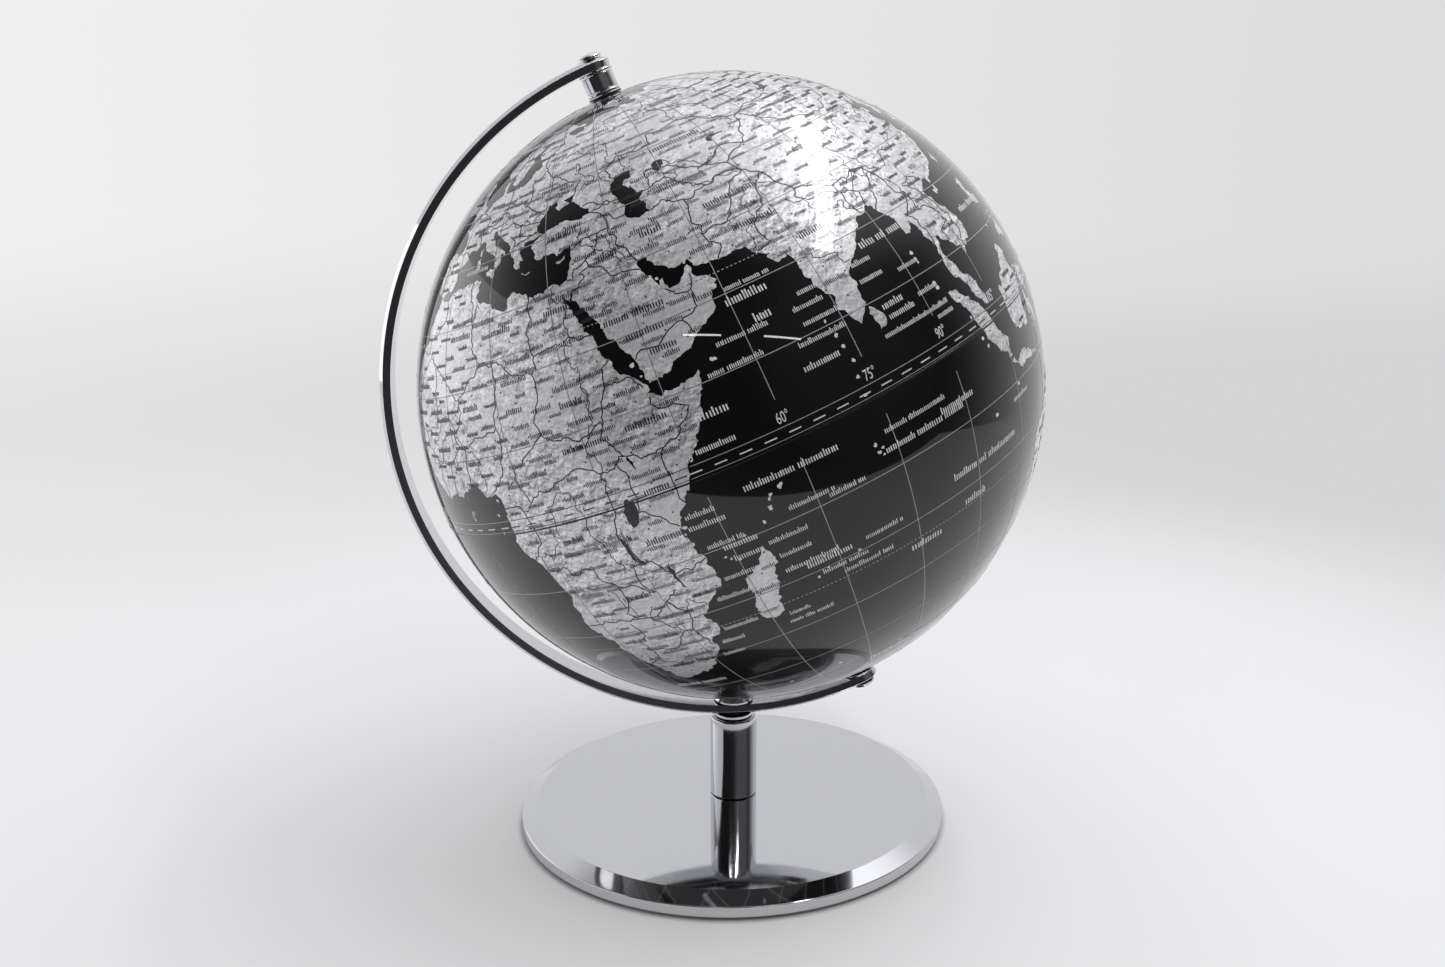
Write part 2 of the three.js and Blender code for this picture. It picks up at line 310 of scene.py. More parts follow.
def turned(name, outline, finish, body, sides=96, place=UPRIGHT, stands_for=()):
    """Closed solid turned about +Z from (point, normal) steps of (radius, height)."""
    angles = np.arange(sides) * 2 * math.pi / sides
    around = np.stack([np.cos(angles), np.sin(angles)], 1)
    points, rings = [], []
    for spot, _ in outline:
        if rings and np.allclose(spot, last):
            rings.append(rings[-1])
        elif rings and np.allclose(spot, outline[0][0]):
            rings.append(rings[0])
        elif abs(spot[0]) < 1e-9:
            rings.append([len(points)] * sides)
            points.append((0, 0, spot[1]))
        else:
            rings.append(list(range(len(points), len(points) + sides)))
            points += [(x * spot[0], y * spot[0], spot[1]) for x, y in around]
        last = spot
    faces, normals = [], []
    for (low, low_normal), (high, high_normal) in zip(zip(rings, outline), zip(rings[1:], outline[1:])):
        if low is high or low == high:
            continue
        for j in range(sides):
            k = (j + 1) % sides
            corners = [(low[j], j, low_normal[1]), (low[k], k, low_normal[1]),
                       (high[k], k, high_normal[1]), (high[j], j, high_normal[1])]
            if low[j] == low[k]:
                corners.pop(0)
            elif high[j] == high[k]:
                corners.pop(2)
            faces.append([corner[0] for corner in corners])
            normals += [(around[s][0] * n[0], around[s][1] * n[0], n[1]) for _, s, n in corners]
    return make_piece(name, points, faces, normals, finish, body, place, stands_for)


def ring_outline(inner, outer, bottom, top, fillet):
    """Closed outline of a sleeve, with rounded outer edges."""
    middle = (bottom + top) / 2
    return filleted([(inner, middle), (inner, bottom, fillet / 2), (outer, bottom, fillet),
                     (outer, top, fillet), (inner, top, fillet / 2), (inner, middle)])


# ---------------------------------------------------------------- stand

BORE = turned_sizes("post_collar", UPRIGHT)[0]  # radius of the hole for the screw or the stud
BORE_DEPTH = 13
BEVEL = {"width": 6.5, "drop": 3.25}
COUNTERBORE = {"radius": 8.2, "depth": 5.2}
CLAMP_NUT = {"rim": 0.8, "top_radius": 4.9}


def build_stand():
    """Plate, post, clamp nut, and the collar under the arc, from outlines of (radius, height, fillet)."""
    low, high = box_mm("base_plate")
    flat = high.x - BEVEL["width"]
    seat = low.z + COUNTERBORE["depth"]
    outline = filleted([
        (BORE, seat), (COUNTERBORE["radius"], seat, 0.2), (COUNTERBORE["radius"], low.z, 0.2),
        (high.x, low.z, 0.5), (high.x, high.z - BEVEL["drop"], 0.55), (flat, high.z, 0.25),
        (BORE, high.z), (BORE, seat),
    ])
    turned("base_disc", outline, BASE_CHROME, "stand", 224, stands_for=["base_plate"])

    low, high = box_mm("post")
    half = (low.z + high.z) / 2
    outline = filleted([
        (0, low.z + BORE_DEPTH), (BORE, low.z + BORE_DEPTH, 0.2), (BORE, low.z, 0.2),
        (high.x, low.z, 0.45), (high.x, half), (high.x, high.z, 0.9),
        (BORE, high.z, 0.2), (BORE, high.z - BORE_DEPTH, 0.2), (0, high.z - BORE_DEPTH),
    ])
    turned("round_post", outline, CHROME, "stand", 128, stands_for=["post"])

    outline = ring_outline(*turned_sizes("post_collar", UPRIGHT), 0.3)
    turned("collar_ring", outline, CHROME, "arc", stands_for=["post_collar"])

    low, high = box_mm("arc_clamp_nut")
    middle = (low.z + high.z) / 2
    outline = filleted([
        (BORE, middle), (BORE, low.z, 0.2), (high.x, low.z, 0.25), (high.x, low.z + CLAMP_NUT["rim"], 0.3),
        (CLAMP_NUT["top_radius"], high.z, 0.5), (BORE, high.z, 0.1), (BORE, middle),
    ])
    turned("cone_nut", outline, CHROME, "stand", stands_for=["arc_clamp_nut"])


# ---------------------------------------------------------------- arc and the pieces at its poles

ARC = {"thickness": 4.2, "lean": 0.62, "bevel": (2.4, 1.45)}
PIN = {"radius": 2.5, "head_height": 2.3, "rim": 0.4}
RING_FILLETS = {"thrust_ring": 0.35, "spacer": 0.35, "washer": 0.25}


def arc_stations(straight=180, end=12):
    """Once round the arc's outline: (turn about the globe, share of the half width along it, and across)."""
    ends = [math.pi / 2 * k / end for k in range(end)]
    half = [(0.0, -math.cos(a), math.sin(a)) for a in ends]
    half += [(math.pi * k / straight, 0.0, 1.0) for k in range(straight + 1)]
    half += [(math.pi, math.cos(a), math.sin(a)) for a in reversed(ends)]
    return half + [(turn, along, -across) for turn, along, across in reversed(half[1:-1])]


def build_arc():
    """Flat bar with round ends, bent round the globe on the -X side. Its outer edges are bevelled."""
    outer = turned_sizes("meridian_arc", TILTED)[3]
    inner = outer - ARC["thickness"]
    half = box_mm("meridian_arc")[1].y
    bevel_in, bevel_down = ARC["bevel"]
    outline = filleted([
        (0, inner), (half - ARC["lean"], inner, 0.3), (half, outer - bevel_down, 0.3),
        (half - bevel_in, outer, 0.3), (0, outer),
    ])[1:-1]
    stations = arc_stations()
    count = len(stations)
    points, frames = [], []
    for (reach, radius), _ in outline:
        for turn, along, across in stations:
            angle = turn + reach * along / radius
            points.append((-radius * math.sin(angle), reach * across, radius * math.cos(angle)))
    for turn, along, across in stations:
        out = np.array((-math.sin(turn), 0, math.cos(turn)))
        onward = np.array((-math.cos(turn), 0, -math.sin(turn)))
        frames.append((along * onward + across * np.array((0, 1, 0)), out))
    faces, normals = [], []
    for level in range(len(outline) - 1):
        for s in range(count):
            t = (s + 1) % count
            corners = [(level, s), (level, t), (level + 1, t), (level + 1, s)]
            faces.append([row * count + k for row, k in corners])
            for row, k in corners:
                sideways, upward = outline[row][1]
                normals.append(sideways * frames[k][0] + upward * frames[k][1])
    top = len(outline) - 1
    for s in range(count // 2):
        t, far_s, far_t = s + 1, -s % count, -(s + 1) % count
        for level, sign in ((0, -1), (top, 1)):
            strip = list(dict.fromkeys([s, t, far_t, far_s]))
            if sign < 0:
                strip.reverse()
            faces.append([level * count + k for k in strip])
            normals += [sign * frames[k][1] for k in strip]
    make_piece("bent_arc", points, faces, normals, ARC_CHROME, "arc", TILTED, ["meridian_arc"])


def build_pole_stack(pole, steps=16):
    """Rings and the dome-headed pin at one pole. The dome is a quarter of an ellipse, turned."""
    place = POLE_PLACES[pole]
    for part, fillet in RING_FILLETS.items():
        node = f"{pole}_{part}"
        outline = ring_outline(*turned_sizes(node, place), fillet)
        turned(f"{node}_turned", outline, CHROME, "arc", 96, place, [node])
    _, radius, tip, top = turned_sizes(f"{pole}_axle_pin", place)
    shoulder = top - PIN["head_height"]
    spring = shoulder + PIN["rim"]
    rise = top - spring
    outline = filleted([
        (0, tip), (PIN["radius"], tip, 0.3), (PIN["radius"], shoulder, 0.1),
        (radius, shoulder, 0.15), (radius, spring),
    ])
    for k in range(steps + 1):
        angle = math.pi / 2 * k / steps
        reach = radius * math.cos(angle) if k < steps else 0
        spot = np.array((reach, spring + rise * math.sin(angle)))
        slope = np.array((math.cos(angle) / radius, math.sin(angle) / rise))
        outline.append((spot, slope / np.linalg.norm(slope)))
    turned(f"{pole}_dome_pin", outline, CHROME, "arc", 72, place, [f"{pole}_axle_pin"])


# ---------------------------------------------------------------- globe shells

SHELL = {"wall": 2.2, "steps": 66, "sides": 256}
SEAM = {"depth": 0.8, "proud": 0.14, "half_height": 0.32}


def shell_side(radius, hole, seam, steps, sign):
    """Outline of a shell's skin (sign 1, seam to pole) or its lining (sign -1, pole to seam)."""
    low = math.asin(seam / radius)
    high = math.acos(hole / radius)
    angles = np.linspace(low, high, steps + 1)[::sign]
    ways = [np.array((math.cos(angle), math.sin(angle))) for angle in angles]
    return [(radius * way, sign * way) for way in ways]


def build_shell(pole):
    node = f"{pole}_hemisphere"
    hole, _, seam, _ = turned_sizes(node, POLE_PLACES[pole])
    skin = shell_side(GLOBE_RADIUS, hole, seam, SHELL["steps"], 1)
    lining = shell_side(GLOBE_RADIUS - SHELL["wall"], hole, seam, SHELL["steps"] // 3, -1)
    down, inward = np.array((0, -1)), np.array((-1, 0))
    hole_edge = [(skin[-1][0], inward), (lining[0][0], inward)]
    seam_edge = [(lining[-1][0], down), (skin[0][0], down)]
    outline = [*skin, *hole_edge, *lining, *seam_edge]
    turned(f"{pole}_shell", outline, OCEAN, "globe", SHELL["sides"], POLE_PLACES[pole], [node])


def build_seam():
    """Fine bead where the two shells are glued together."""
    inner, outer, half = GLOBE_RADIUS - SEAM["depth"], GLOBE_RADIUS + SEAM["proud"], SEAM["half_height"]
    outline = filleted([(inner, 0), (inner, -half, 0.1), (outer, -half, 0.16), (outer, half, 0.16),
                        (inner, half, 0.1), (inner, 0)])
    turned("equator_seam", outline, OCEAN, "globe", 320, TILTED)


# ---------------------------------------------------------------- printed map

# Coastlines as "longitude latitude" pairs in degrees, in order around each land.
COASTS = {
    "africa": """
        -5.9 35.8, -5.3 35.9, -4.3 35.2, -2.9 35.3, -2 35.1, -1 35.7, 1 36.4, 3 36.8, 5 36.8, 7 37.1,
        9.8 37.3, 10.3 36.8, 11.1 37, 10.5 36, 11 35.3, 10.1 34.2, 11.1 33.3, 13.2 32.9, 15.3 32.3,
        15.7 31.4, 18 30.6, 19.2 30.3, 20.1 31, 20 32.2, 21.6 32.9, 23.2 32.3, 25.1 31.6, 27.6 31.1,
        29 30.8, 30.4 31.5, 31.2 31.6, 32.3 31.2, 32.5 29.9, 32.8 28.9, 33.8 27.4, 34.8 25.3, 35.6 23.9,
        35.6 22.8, 37 21.8, 37.2 20.8, 37.1 19.6, 37.6 18.6, 38.6 17.9, 39.2 15.9, 39.7 15.2, 41.2 14.4,
        42.6 13, 43.2 12.5, 43.3 11.9, 42.6 11.5, 43.3 11.4, 44.6 10.4, 46.5 10.7, 49 11.2, 51.3 11.9,
        51.1 10.4, 50.8 9.3, 49.8 8, 48.6 5.4, 47.9 4.4, 46 2.4, 44.4 1.4, 42.5 -.4, 41.5 -1.8, 40.2 -2.6,
        39.5 -4.3, 38.8 -5.8, 39.5 -6.9, 39.4 -8.6, 40.5 -10.5, 40.6 -12.7, 40.8 -14.9, 40.1 -16.1,
        38 -17.3, 36.6 -18.3, 34.8 -19.8, 35.3 -21.4, 35.5 -23.9, 33.1 -25.2, 32.6 -25.9, 32.9 -27.1,
        32.1 -28.8, 31 -29.9, 29.3 -32, 27.6 -33.2, 25.8 -34, 23.4 -34, 22.1 -34.3, 20 -34.8, 18.5 -34.2,
        18 -32.9, 18.3 -31.9, 17.2 -30.2, 16.5 -28.6, 15.2 -26.9, 14.8 -25, 14.4 -22.7, 13.3 -20.7,
        11.9 -18.2, 11.8 -16.6, 12.7 -13.6, 13.8 -11.1, 13.1 -9, 12.3 -6.2, 11.9 -4.8, 10.7 -3.6,
        9.4 -2.2, 8.8 -.7, 9.4 .4, 9.8 2.4, 9.6 3.9, 8.8 4.6, 7 4.4, 6 4.3, 5.2 5.6, 4.2 6.3, 2.6 6.4,
        1.1 5.9, -.9 5.2, -2.1 4.8, -4 5.3, -5.9 5, -7.5 4.3, -9.2 5.6, -11.3 6.9, -12.9 7.9, -13.2 8.8,
        -14.6 10.6, -16.7 12.3, -16.7 13.3, -17.5 14.7, -16.5 16.2, -16.1 18.3, -16.4 19.6, -17 21,
        -16.4 22.6, -15.4 24.6, -14.4 26.2, -12.9 27.8, -11.3 28.5, -9.9 29.8, -9.8 31.4, -8.4 33.3,
        -6.7 34.2""",
    "eurasia": """
        32.7 29.9, 33.1 28.8, 34.2 27.8, 34.9 29.4, 34.6 28.1, 35.6 27.4, 36.8 25.7, 37.4 24.5, 38.6 23.3,
        39.1 21.7, 39.4 20.6, 40.8 19.4, 41.6 17.8, 42.6 16.5, 42.9 15, 43.2 13.4, 43.6 12.7, 45.1 12.9,
        47.6 13.5, 49.1 14.5, 52.2 15.6, 53.4 16.6, 55.2 17.3, 56.5 18.1, 57.8 19, 57.8 20.3, 59.2 21.4,
        59.8 22.5, 58.6 23.6, 57 24, 56.4 24.9, 56.3 26.3, 55.2 25.2, 54 24.2, 51.9 24, 51.5 24.9,
        51.5 25.9, 50.9 25.7, 50.8 24.8, 50.2 25.7, 49.9 26.9, 48.8 27.8, 48.1 29.3, 48.6 30, 50 30.1,
        50.8 28.9, 51.8 27.9, 53.8 26.7, 55.6 26.9, 56.8 27, 57.2 25.8, 59 25.4, 61.6 25.1, 64.6 25.3,
        66.6 25.2, 67.3 24, 68.4 23.3, 70.3 22.9, 69 22.3, 70.3 20.9, 72.1 21.2, 72.4 22.2, 72.7 20.9,
        72.9 18.8, 73.5 16, 74.5 14, 75.3 12, 76.3 9.9, 77.5 8, 78.3 8.9, 79 9.4, 79.9 10.4, 79.8 12,
        80.3 13.5, 80.1 15.3, 81.3 16.2, 82.4 16.8, 84.2 18.2, 85.4 19.6, 86.9 20.6, 87.1 21.4, 88.3 21.7,
        89.8 21.8, 90.8 22.6, 91.9 22.2, 92.4 20.8, 93.8 19.6, 94.4 17.9, 94.3 16, 95.4 15.8, 96.9 17.2,
        97.6 16.1, 98 13.8, 98.7 12, 98.5 10, 98.3 8.2, 99.7 6.6, 100.5 5.2, 101.3 3, 102.6 2, 103.5 1.3,
        104.2 1.5, 103.5 2.9, 103.3 4.7, 102.3 6.1, 100.7 7.1, 99.9 9.2, 99.2 10.7, 99.9 12.2, 100.1 13.4,
        100.9 13.3, 101 12.6, 102.6 11.9, 103.6 10.5, 104.9 10.2, 104.8 8.6, 106.6 9.7, 107.4 10.5,
        109.1 11.6, 109.2 13.6, 108.3 16, 106.6 17.8, 105.8 19, 106.7 20.4, 108.2 21.5, 109.7 21.5,
        110.2 20.3, 110.8 21.3, 113.2 22, 114.4 22.5, 116.7 23.2, 118.3 24.6, 119.7 26, 121.5 28.4,
        122 29.9, 121 30.6, 121.9 31.8, 120.3 34.2, 119.2 35, 120.6 36.2, 122.5 37.1, 121 37.8,
        118.9 37.4, 117.7 38.7, 119 39.2, 121.4 40.9, 121.3 38.8, 124.3 39.9, 125.2 38.5, 126.7 37.3,
        126.4 34.5, 128.6 34.9, 129.4 36.6, 128.4 38.5, 127.5 39.7, 129.8 41.6, 131.9 43.1, 135.6 44.6,
        138.3 46.6, 140.4 48.9, 140.8 51.6, 141.3 53.2, 138.6 54, 135.3 54.7, 137.3 57, 142.4 59.2,
        149 59.5, 155 59.3, 156.7 61.5, 160.3 61.8, 163.9 62.5, 162 60, 157.5 57.8, 155.7 55.5, 156.7 51,
        159.9 53.2, 162 54.9, 163.2 57.8, 166.2 60, 170.3 60.1, 174.4 61.8, 179.3 62.4, 178 64.4,
        182.5 65.4, 186.5 64.4, 190.2 66, 184.5 67.1, 180 69, 170.8 69.9, 161.5 69.6, 152.5 70.9,
        140.5 72.7, 131.2 71, 127 73.2, 113.6 73.7, 108 76.7, 104 77.7, 99 76.3, 87 75, 80.7 73,
        80.3 71.7, 74.8 72.8, 73 71.3, 74 68.4, 71.7 66.3, 72.5 69, 72.3 72.8, 69 72.7, 66.9 70.6,
        68.4 68.4, 60.5 69.4, 54 68.5, 46.4 68.1, 44 66.2, 40.3 66.2, 40 64.7, 36.8 64.2, 34.9 64.6,
        32.7 66.7, 40.7 66.5, 41.2 67.6, 33.6 69.3, 30.2 69.8, 25.8 71.1, 19.2 69.9, 14.6 67.5, 12 65.2,
        8.6 63.3, 5.1 61.6, 5.4 59.2, 7.2 58, 10.6 59.3, 11.4 58.4, 12.8 55.6, 14.3 55.5, 16.4 56.8,
        17 58.7, 18.9 59.8, 17.3 61.1, 18 62.8, 21.5 64.7, 24 65.8, 25.3 65, 21.3 62.7, 21.5 60.8,
        23 59.9, 28.2 60.5, 30.2 59.9, 28 59.5, 23.7 59.1, 24.4 57.8, 23.2 57, 21.6 57.4, 21 55.2,
        19.4 54.4, 14.2 53.9, 11 54.1, 10 55, 10.6 57.6, 8.3 57, 8.3 55.4, 8.8 53.9, 7 53.4, 4.8 52.9,
        3.4 51.4, 1.6 50.9, 1.4 50.1, .1 49.6, -1.4 49.7, -1.5 48.7, -4.7 48.4, -2.4 47.2, -1.2 45.8,
        -1.6 43.5, -4 43.4, -8 43.7, -9.2 43, -8.8 41, -9.5 38.7, -8.9 37, -7.3 37.2, -5.7 36, -4.4 36.7,
        -2.1 36.7, -.6 37.6, .2 38.8, -.2 39.8, .9 41, 3.2 41.9, 3.1 43.2, 4.8 43.4, 6.6 43.1, 8.9 44.4,
        10.3 43.5, 12.2 41.8, 14 40.9, 15.6 39.9, 15.9 38, 16.6 38.6, 17.1 39.3, 16.8 40.4, 18.4 39.9,
        18 40.8, 15.9 41.6, 14.3 42.4, 13.5 43.6, 12.3 44.6, 12.5 45.5, 13.7 45.6, 13.9 44.9, 15.3 44.1,
        17 43, 18.7 42.2, 19.5 41.4, 19.4 40.3, 20.5 39.2, 21.3 38.3, 21.4 37.2, 22.4 36.5, 23.1 36.6,
        23 37.8, 24 37.7, 22.9 39.2, 22.7 40.4, 24 40.1, 24.3 40.8, 26.2 40.8, 27.6 41, 29 41.2, 28 42,
        28 43.3, 29.7 45, 30.8 46.5, 33.3 46.1, 32.6 45.4, 33.6 44.5, 35.3 45, 36.6 45.3, 35 46.3,
        38.4 47.1, 38 46.4, 37.3 45.2, 38.6 44.3, 41.4 42.4, 41.5 41.5, 39.4 41, 36.6 41.4, 35 42,
        32 41.6, 29.2 41.1, 27.4 40.4, 26.2 39.9, 26.8 38.5, 27.3 37, 28.4 36.6, 30.6 36.8, 32.6 36.1,
        34.6 36.8, 36.1 36.7, 35.8 35.2, 35.1 33, 34.3 31.4, 32.9 31.1""",
    "madagascar": """
        49.3 -12, 50 -13.4, 50.4 -15.6, 49.6 -15.9, 49.4 -17.9, 48.3 -20.6, 47.7 -23, 47 -24.9,
        45.6 -25.5, 44.1 -25, 43.4 -22.8, 43.9 -21.1, 44.4 -19.9, 44 -18, 44.4 -16.3, 46 -15.8,
        47.6 -14.8, 48.6 -13.2""",
    "sri_lanka": "80 9.7, 81.2 8.5, 81.8 7.2, 81 6.2, 80.1 6.1, 79.8 7.6",
    "sumatra": """
        95.3 5.6, 97.5 5.2, 98.8 3.7, 100.4 2.4, 102 .9, 103.5 -.8, 104.5 -2, 106 -3, 105.8 -5.8,
        104.6 -5.8, 102.3 -4, 100.9 -2, 99.1 .3, 97.8 2.2, 96 4""",
    "java": """
        105.2 -6.8, 106.1 -6, 108.5 -6.7, 110.9 -6.4, 112.7 -7, 114.5 -7.8, 114.4 -8.6, 111 -8.3, 107 -7.5""",
    "borneo": """
        109.1 1.6, 111.3 2.5, 113.1 3.2, 115 5, 116.8 6.9, 119.1 5.3, 117.8 3.8, 118.9 1, 117.5 .6,
        116.5 -1.6, 116.1 -3.8, 114.5 -4, 111.8 -3.4, 110.1 -2.8, 109.1 -.4""",
    "sulawesi": """
        119.6 -5.5, 119.4 -3.5, 118.9 -2.7, 119.8 .2, 120.9 1.3, 124.9 1.5, 123.6 .4, 120.4 .4, 120.2 -1,
        123.2 -.9, 121.9 -1.8, 122.6 -3.8, 122.5 -5.2, 121.3 -4.6, 120.9 -2.8, 120.4 -3.2, 120.4 -5.5""",
    "new_guinea": """
        131 -.8, 134.1 -.9, 135 -3.3, 137.8 -1.5, 141 -2.6, 144.6 -3.9, 147.8 -6, 147.1 -6.9, 150.8 -10.3,
        147.5 -9.8, 145.8 -8, 143.4 -9, 141 -9.1, 138 -8.3, 138.6 -6.6, 135.5 -4.5, 133 -4, 133.6 -2.6,
        132 -2.4""",
    "australia": """
        113.8 -22.2, 113.5 -24.5, 114.2 -27.3, 115.7 -31.7, 115.1 -34.2, 118 -35.1, 120 -33.9,
        123.8 -33.9, 126.2 -32.3, 131.2 -31.5, 134.2 -33, 135.9 -34.9, 137.8 -32.8, 138.2 -35.5,
        140 -37.5, 143.6 -38.8, 146.4 -39, 150 -37.4, 151.3 -33.5, 153 -31, 153.5 -28.2, 153 -25.2,
        150.8 -23.4, 149 -20.8, 146.4 -19, 145.3 -15, 143.7 -14.3, 142.5 -10.8, 141.6 -13.6, 140.9 -17.4,
        139.2 -17.3, 135.7 -15, 136.8 -12.3, 132.7 -11.4, 130.8 -12.5, 129.5 -14.9, 128 -14.8, 125.9 -14,
        123.5 -16.4, 122.1 -18.2, 119 -20, 116.7 -20.7""",
    "tasmania": "144.7 -40.8, 148.2 -40.9, 148 -43, 146.6 -43.6, 145.3 -42.5",
    "new_zealand_north": """
        172.8 -34.5, 175.7 -36.8, 178.4 -37.7, 177 -39.5, 175.3 -41.5, 174 -39.3, 174.8 -37.7""",
    "new_zealand_south": "173 -40.7, 174.2 -41.6, 171 -44.5, 170.6 -46, 168.4 -46.7, 166.5 -45.9, 170.5 -43",
    "honshu": """
        130.9 34.2, 133 35.5, 136.7 37.3, 139.4 38.3, 140.2 40.8, 141.5 41.4, 141.9 39.5, 140.9 37.8,
        140.8 35.7, 139 34.7, 136 33.5, 134 34.6""",
    "hokkaido": "140 41.5, 141.4 43.4, 141.9 45.5, 145.3 43.4, 143.3 42",
    "kyushu": "129.7 33.2, 131.6 33.6, 131.4 31.4, 130.2 31.3",
    "sakhalin": "142 46, 143.5 49.2, 143.1 54.3, 142 52, 142.1 49",
    "taiwan": "121.5 25.2, 121.4 23.2, 120.8 22, 120.1 23.1",
    "hainan": "108.7 19.3, 110.4 20.1, 110.5 18.8, 109.2 18.3",
    "luzon": "120.6 18.4, 122.2 18.4, 121.6 15.9, 123.9 13.2, 120.7 13.8, 119.9 16.3",
    "mindanao": "122.1 7.1, 123.7 8.6, 125.5 9.7, 126.5 7.3, 125.4 5.8, 124 7",
    "great_britain": """
        -5.6 50.1, -3.5 51.4, -5.2 51.8, -4.5 53.3, -3 53.5, -4.9 54.8, -6.1 56.6, -5 58.6, -3.1 58.6,
        -1.9 57.6, -2.1 55.9, .2 53.1, 1.7 52.6, 1.3 51.2, -1.5 50.7, -3.5 50.3""",
    "ireland": "-6.1 52.2, -9.9 51.7, -9.9 54.1, -7.4 55.3, -5.6 54.5",
    "iceland": "-22.6 63.9, -24.3 65.6, -20.3 65.7, -16.3 66.5, -13.7 65, -18.7 63.4",
    "sicily": "12.5 38, 15.6 38.2, 15.1 36.7, 12.8 37.5",
    "sardinia": "8.2 40.9, 9.3 41.2, 9.6 39.2, 8.5 39",
    "corsica": "8.7 42.5, 9.4 43, 9.4 41.5, 8.8 41.6",
    "crete": "23.6 35.5, 26.2 35.2, 24.8 34.9",
    "cyprus": "32.3 35, 34.5 35.6, 33.6 34.8, 32.6 34.7",
    "novaya_zemlya": "51.6 71.5, 55.5 75, 68 76.9, 60 75.2, 57.6 70.7, 54 70.8",
    "svalbard": "11.5 79.3, 17 80, 26 80.1, 21 78.3, 16.8 76.6",
    "greenland": """
        -73 78.2, -66 80.8, -45 82.8, -32 83.6, -20 82, -18 79, -20.5 75, -22.5 72, -25.5 70.4, -32 68.2,
        -38 65.8, -42.5 62, -44 60, -48.5 61.4, -52.4 65, -53.8 67.5, -51.3 69.8, -55 72, -59 75.5,
        -68.5 76""",
    "ellesmere": "-90 76.4, -88 79, -92 81.2, -70 83.1, -62 82.3, -75 79.3, -80 76.3",
    "baffin": """
        -62 66.2, -68.5 70, -80 73.7, -89.5 73.2, -88 70.8, -75 68.3, -73 65, -78 64.3, -65 62, -67.5 63.8""",
    "victoria_island": "-116 71, -112 72.9, -105.5 72.5, -102 69.4, -113 68.6, -117 69.9",
    "north_america": """
        -168 65.6, -161.5 66.5, -166.5 68.3, -156.6 71.3, -141 69.7, -128 70, -115 68.1, -108 68, -97 68,
        -94.2 71.9, -88 68.5, -82 69.2, -87 65, -94.7 61.5, -94.2 58.8, -88 56.6, -82.3 55.1, -82 53,
        -79 51.4, -79.5 54.8, -76.6 57, -78 62.4, -70 61, -65.5 58.8, -61.5 56.5, -56 53, -60 50.2,
        -66.5 50.2, -71 47, -65 49, -64.5 46.3, -60 46.3, -65.5 43.6, -67 44.8, -70.6 43, -70 41.7,
        -74 40.6, -75.5 37.8, -76 35, -81 31.7, -80.1 26.5, -81 25.1, -82.8 28, -84.2 30, -89.5 30.2,
        -91 29.2, -94.7 29.4, -97.3 27.5, -97.8 22.5, -96 19.1, -94 18.1, -91 18.6, -90.4 21, -87 21.5,
        -88.3 17.8, -88.7 15.8, -84 15.8, -83.4 12.2, -82 9, -79.6 9.5, -77.4 8.6, -78.3 8.3, -80 7.4,
        -83 8.3, -85.8 10.5, -87.5 13, -92.3 14.6, -95 16.1, -99.8 16.8, -104.5 19.2, -105.5 22,
        -109.4 25.8, -112.8 29.8, -114.7 31.7, -113 28.6, -110.3 24.3, -110 23, -112.2 25.5, -115 28.2,
        -117.2 32.6, -120.6 34.6, -122.4 37.2, -124.3 40.3, -124 46, -123 48.8, -127.7 51.2, -130.4 54.6,
        -135 58.3, -140 59.8, -147 60.9, -151.5 59.5, -157 57, -163.5 54.7, -158 58.6, -162 59.8,
        -165.5 61.5, -161 64.4, -166 64.5""",
    "newfoundland": "-59.3 47.8, -56 51.5, -53 48.5, -54 46.9",
    "cuba": "-84.8 22, -82 23.1, -77 21.5, -74.3 20.2, -77.5 19.9, -80 21.7",
    "hispaniola": "-74 18.3, -73 19.9, -70 19.7, -68.4 18.5, -71.3 17.8",
    "south_america": """
        -77.4 8.6, -75.5 10.8, -71.7 12.4, -71.3 10.9, -68 11.2, -62 10.7, -58 7, -52 4.7, -50 1.2,
        -50.5 -.8, -44.3 -2.6, -38.5 -3.7, -35.2 -5.5, -35 -9, -38.5 -13, -39.2 -17.8, -41.8 -22.6,
        -46.5 -24.2, -48.6 -26.5, -52 -32.5, -54.8 -34.9, -58.4 -34, -57 -36.5, -62 -38.9, -65 -41,
        -65.5 -45, -67.5 -46.2, -65.9 -47.8, -69 -51, -65.3 -54.8, -71.5 -54, -74.7 -51, -75.4 -46.8,
        -73.6 -42.5, -73.5 -37.2, -71.5 -30, -70.3 -22, -70.4 -18.3, -76 -14, -79 -8.3, -81.3 -5.5,
        -80 -2.5, -80 .8, -77.2 3.9""",
    "antarctica": """
        0 -70, 15 -69.8, 32 -69.2, 40 -69, 50 -66.7, 57 -66.8, 70 -69, 76 -69.7, 88 -66.6, 102 -65.8,
        115 -66.7, 130 -66.2, 144 -67, 160 -69.8, 171 -72, 165 -76, 163 -78, 180 -78.6, 200 -77.8,
        215 -76.8, 228 -75, 245 -74, 260 -73, 280 -73.3, 292 -70, 298 -64.5, 302 -63.4, 297 -68, 299 -73,
        312 -77.8, 325 -77.8, 335 -74.5, 348 -71.5""",
}

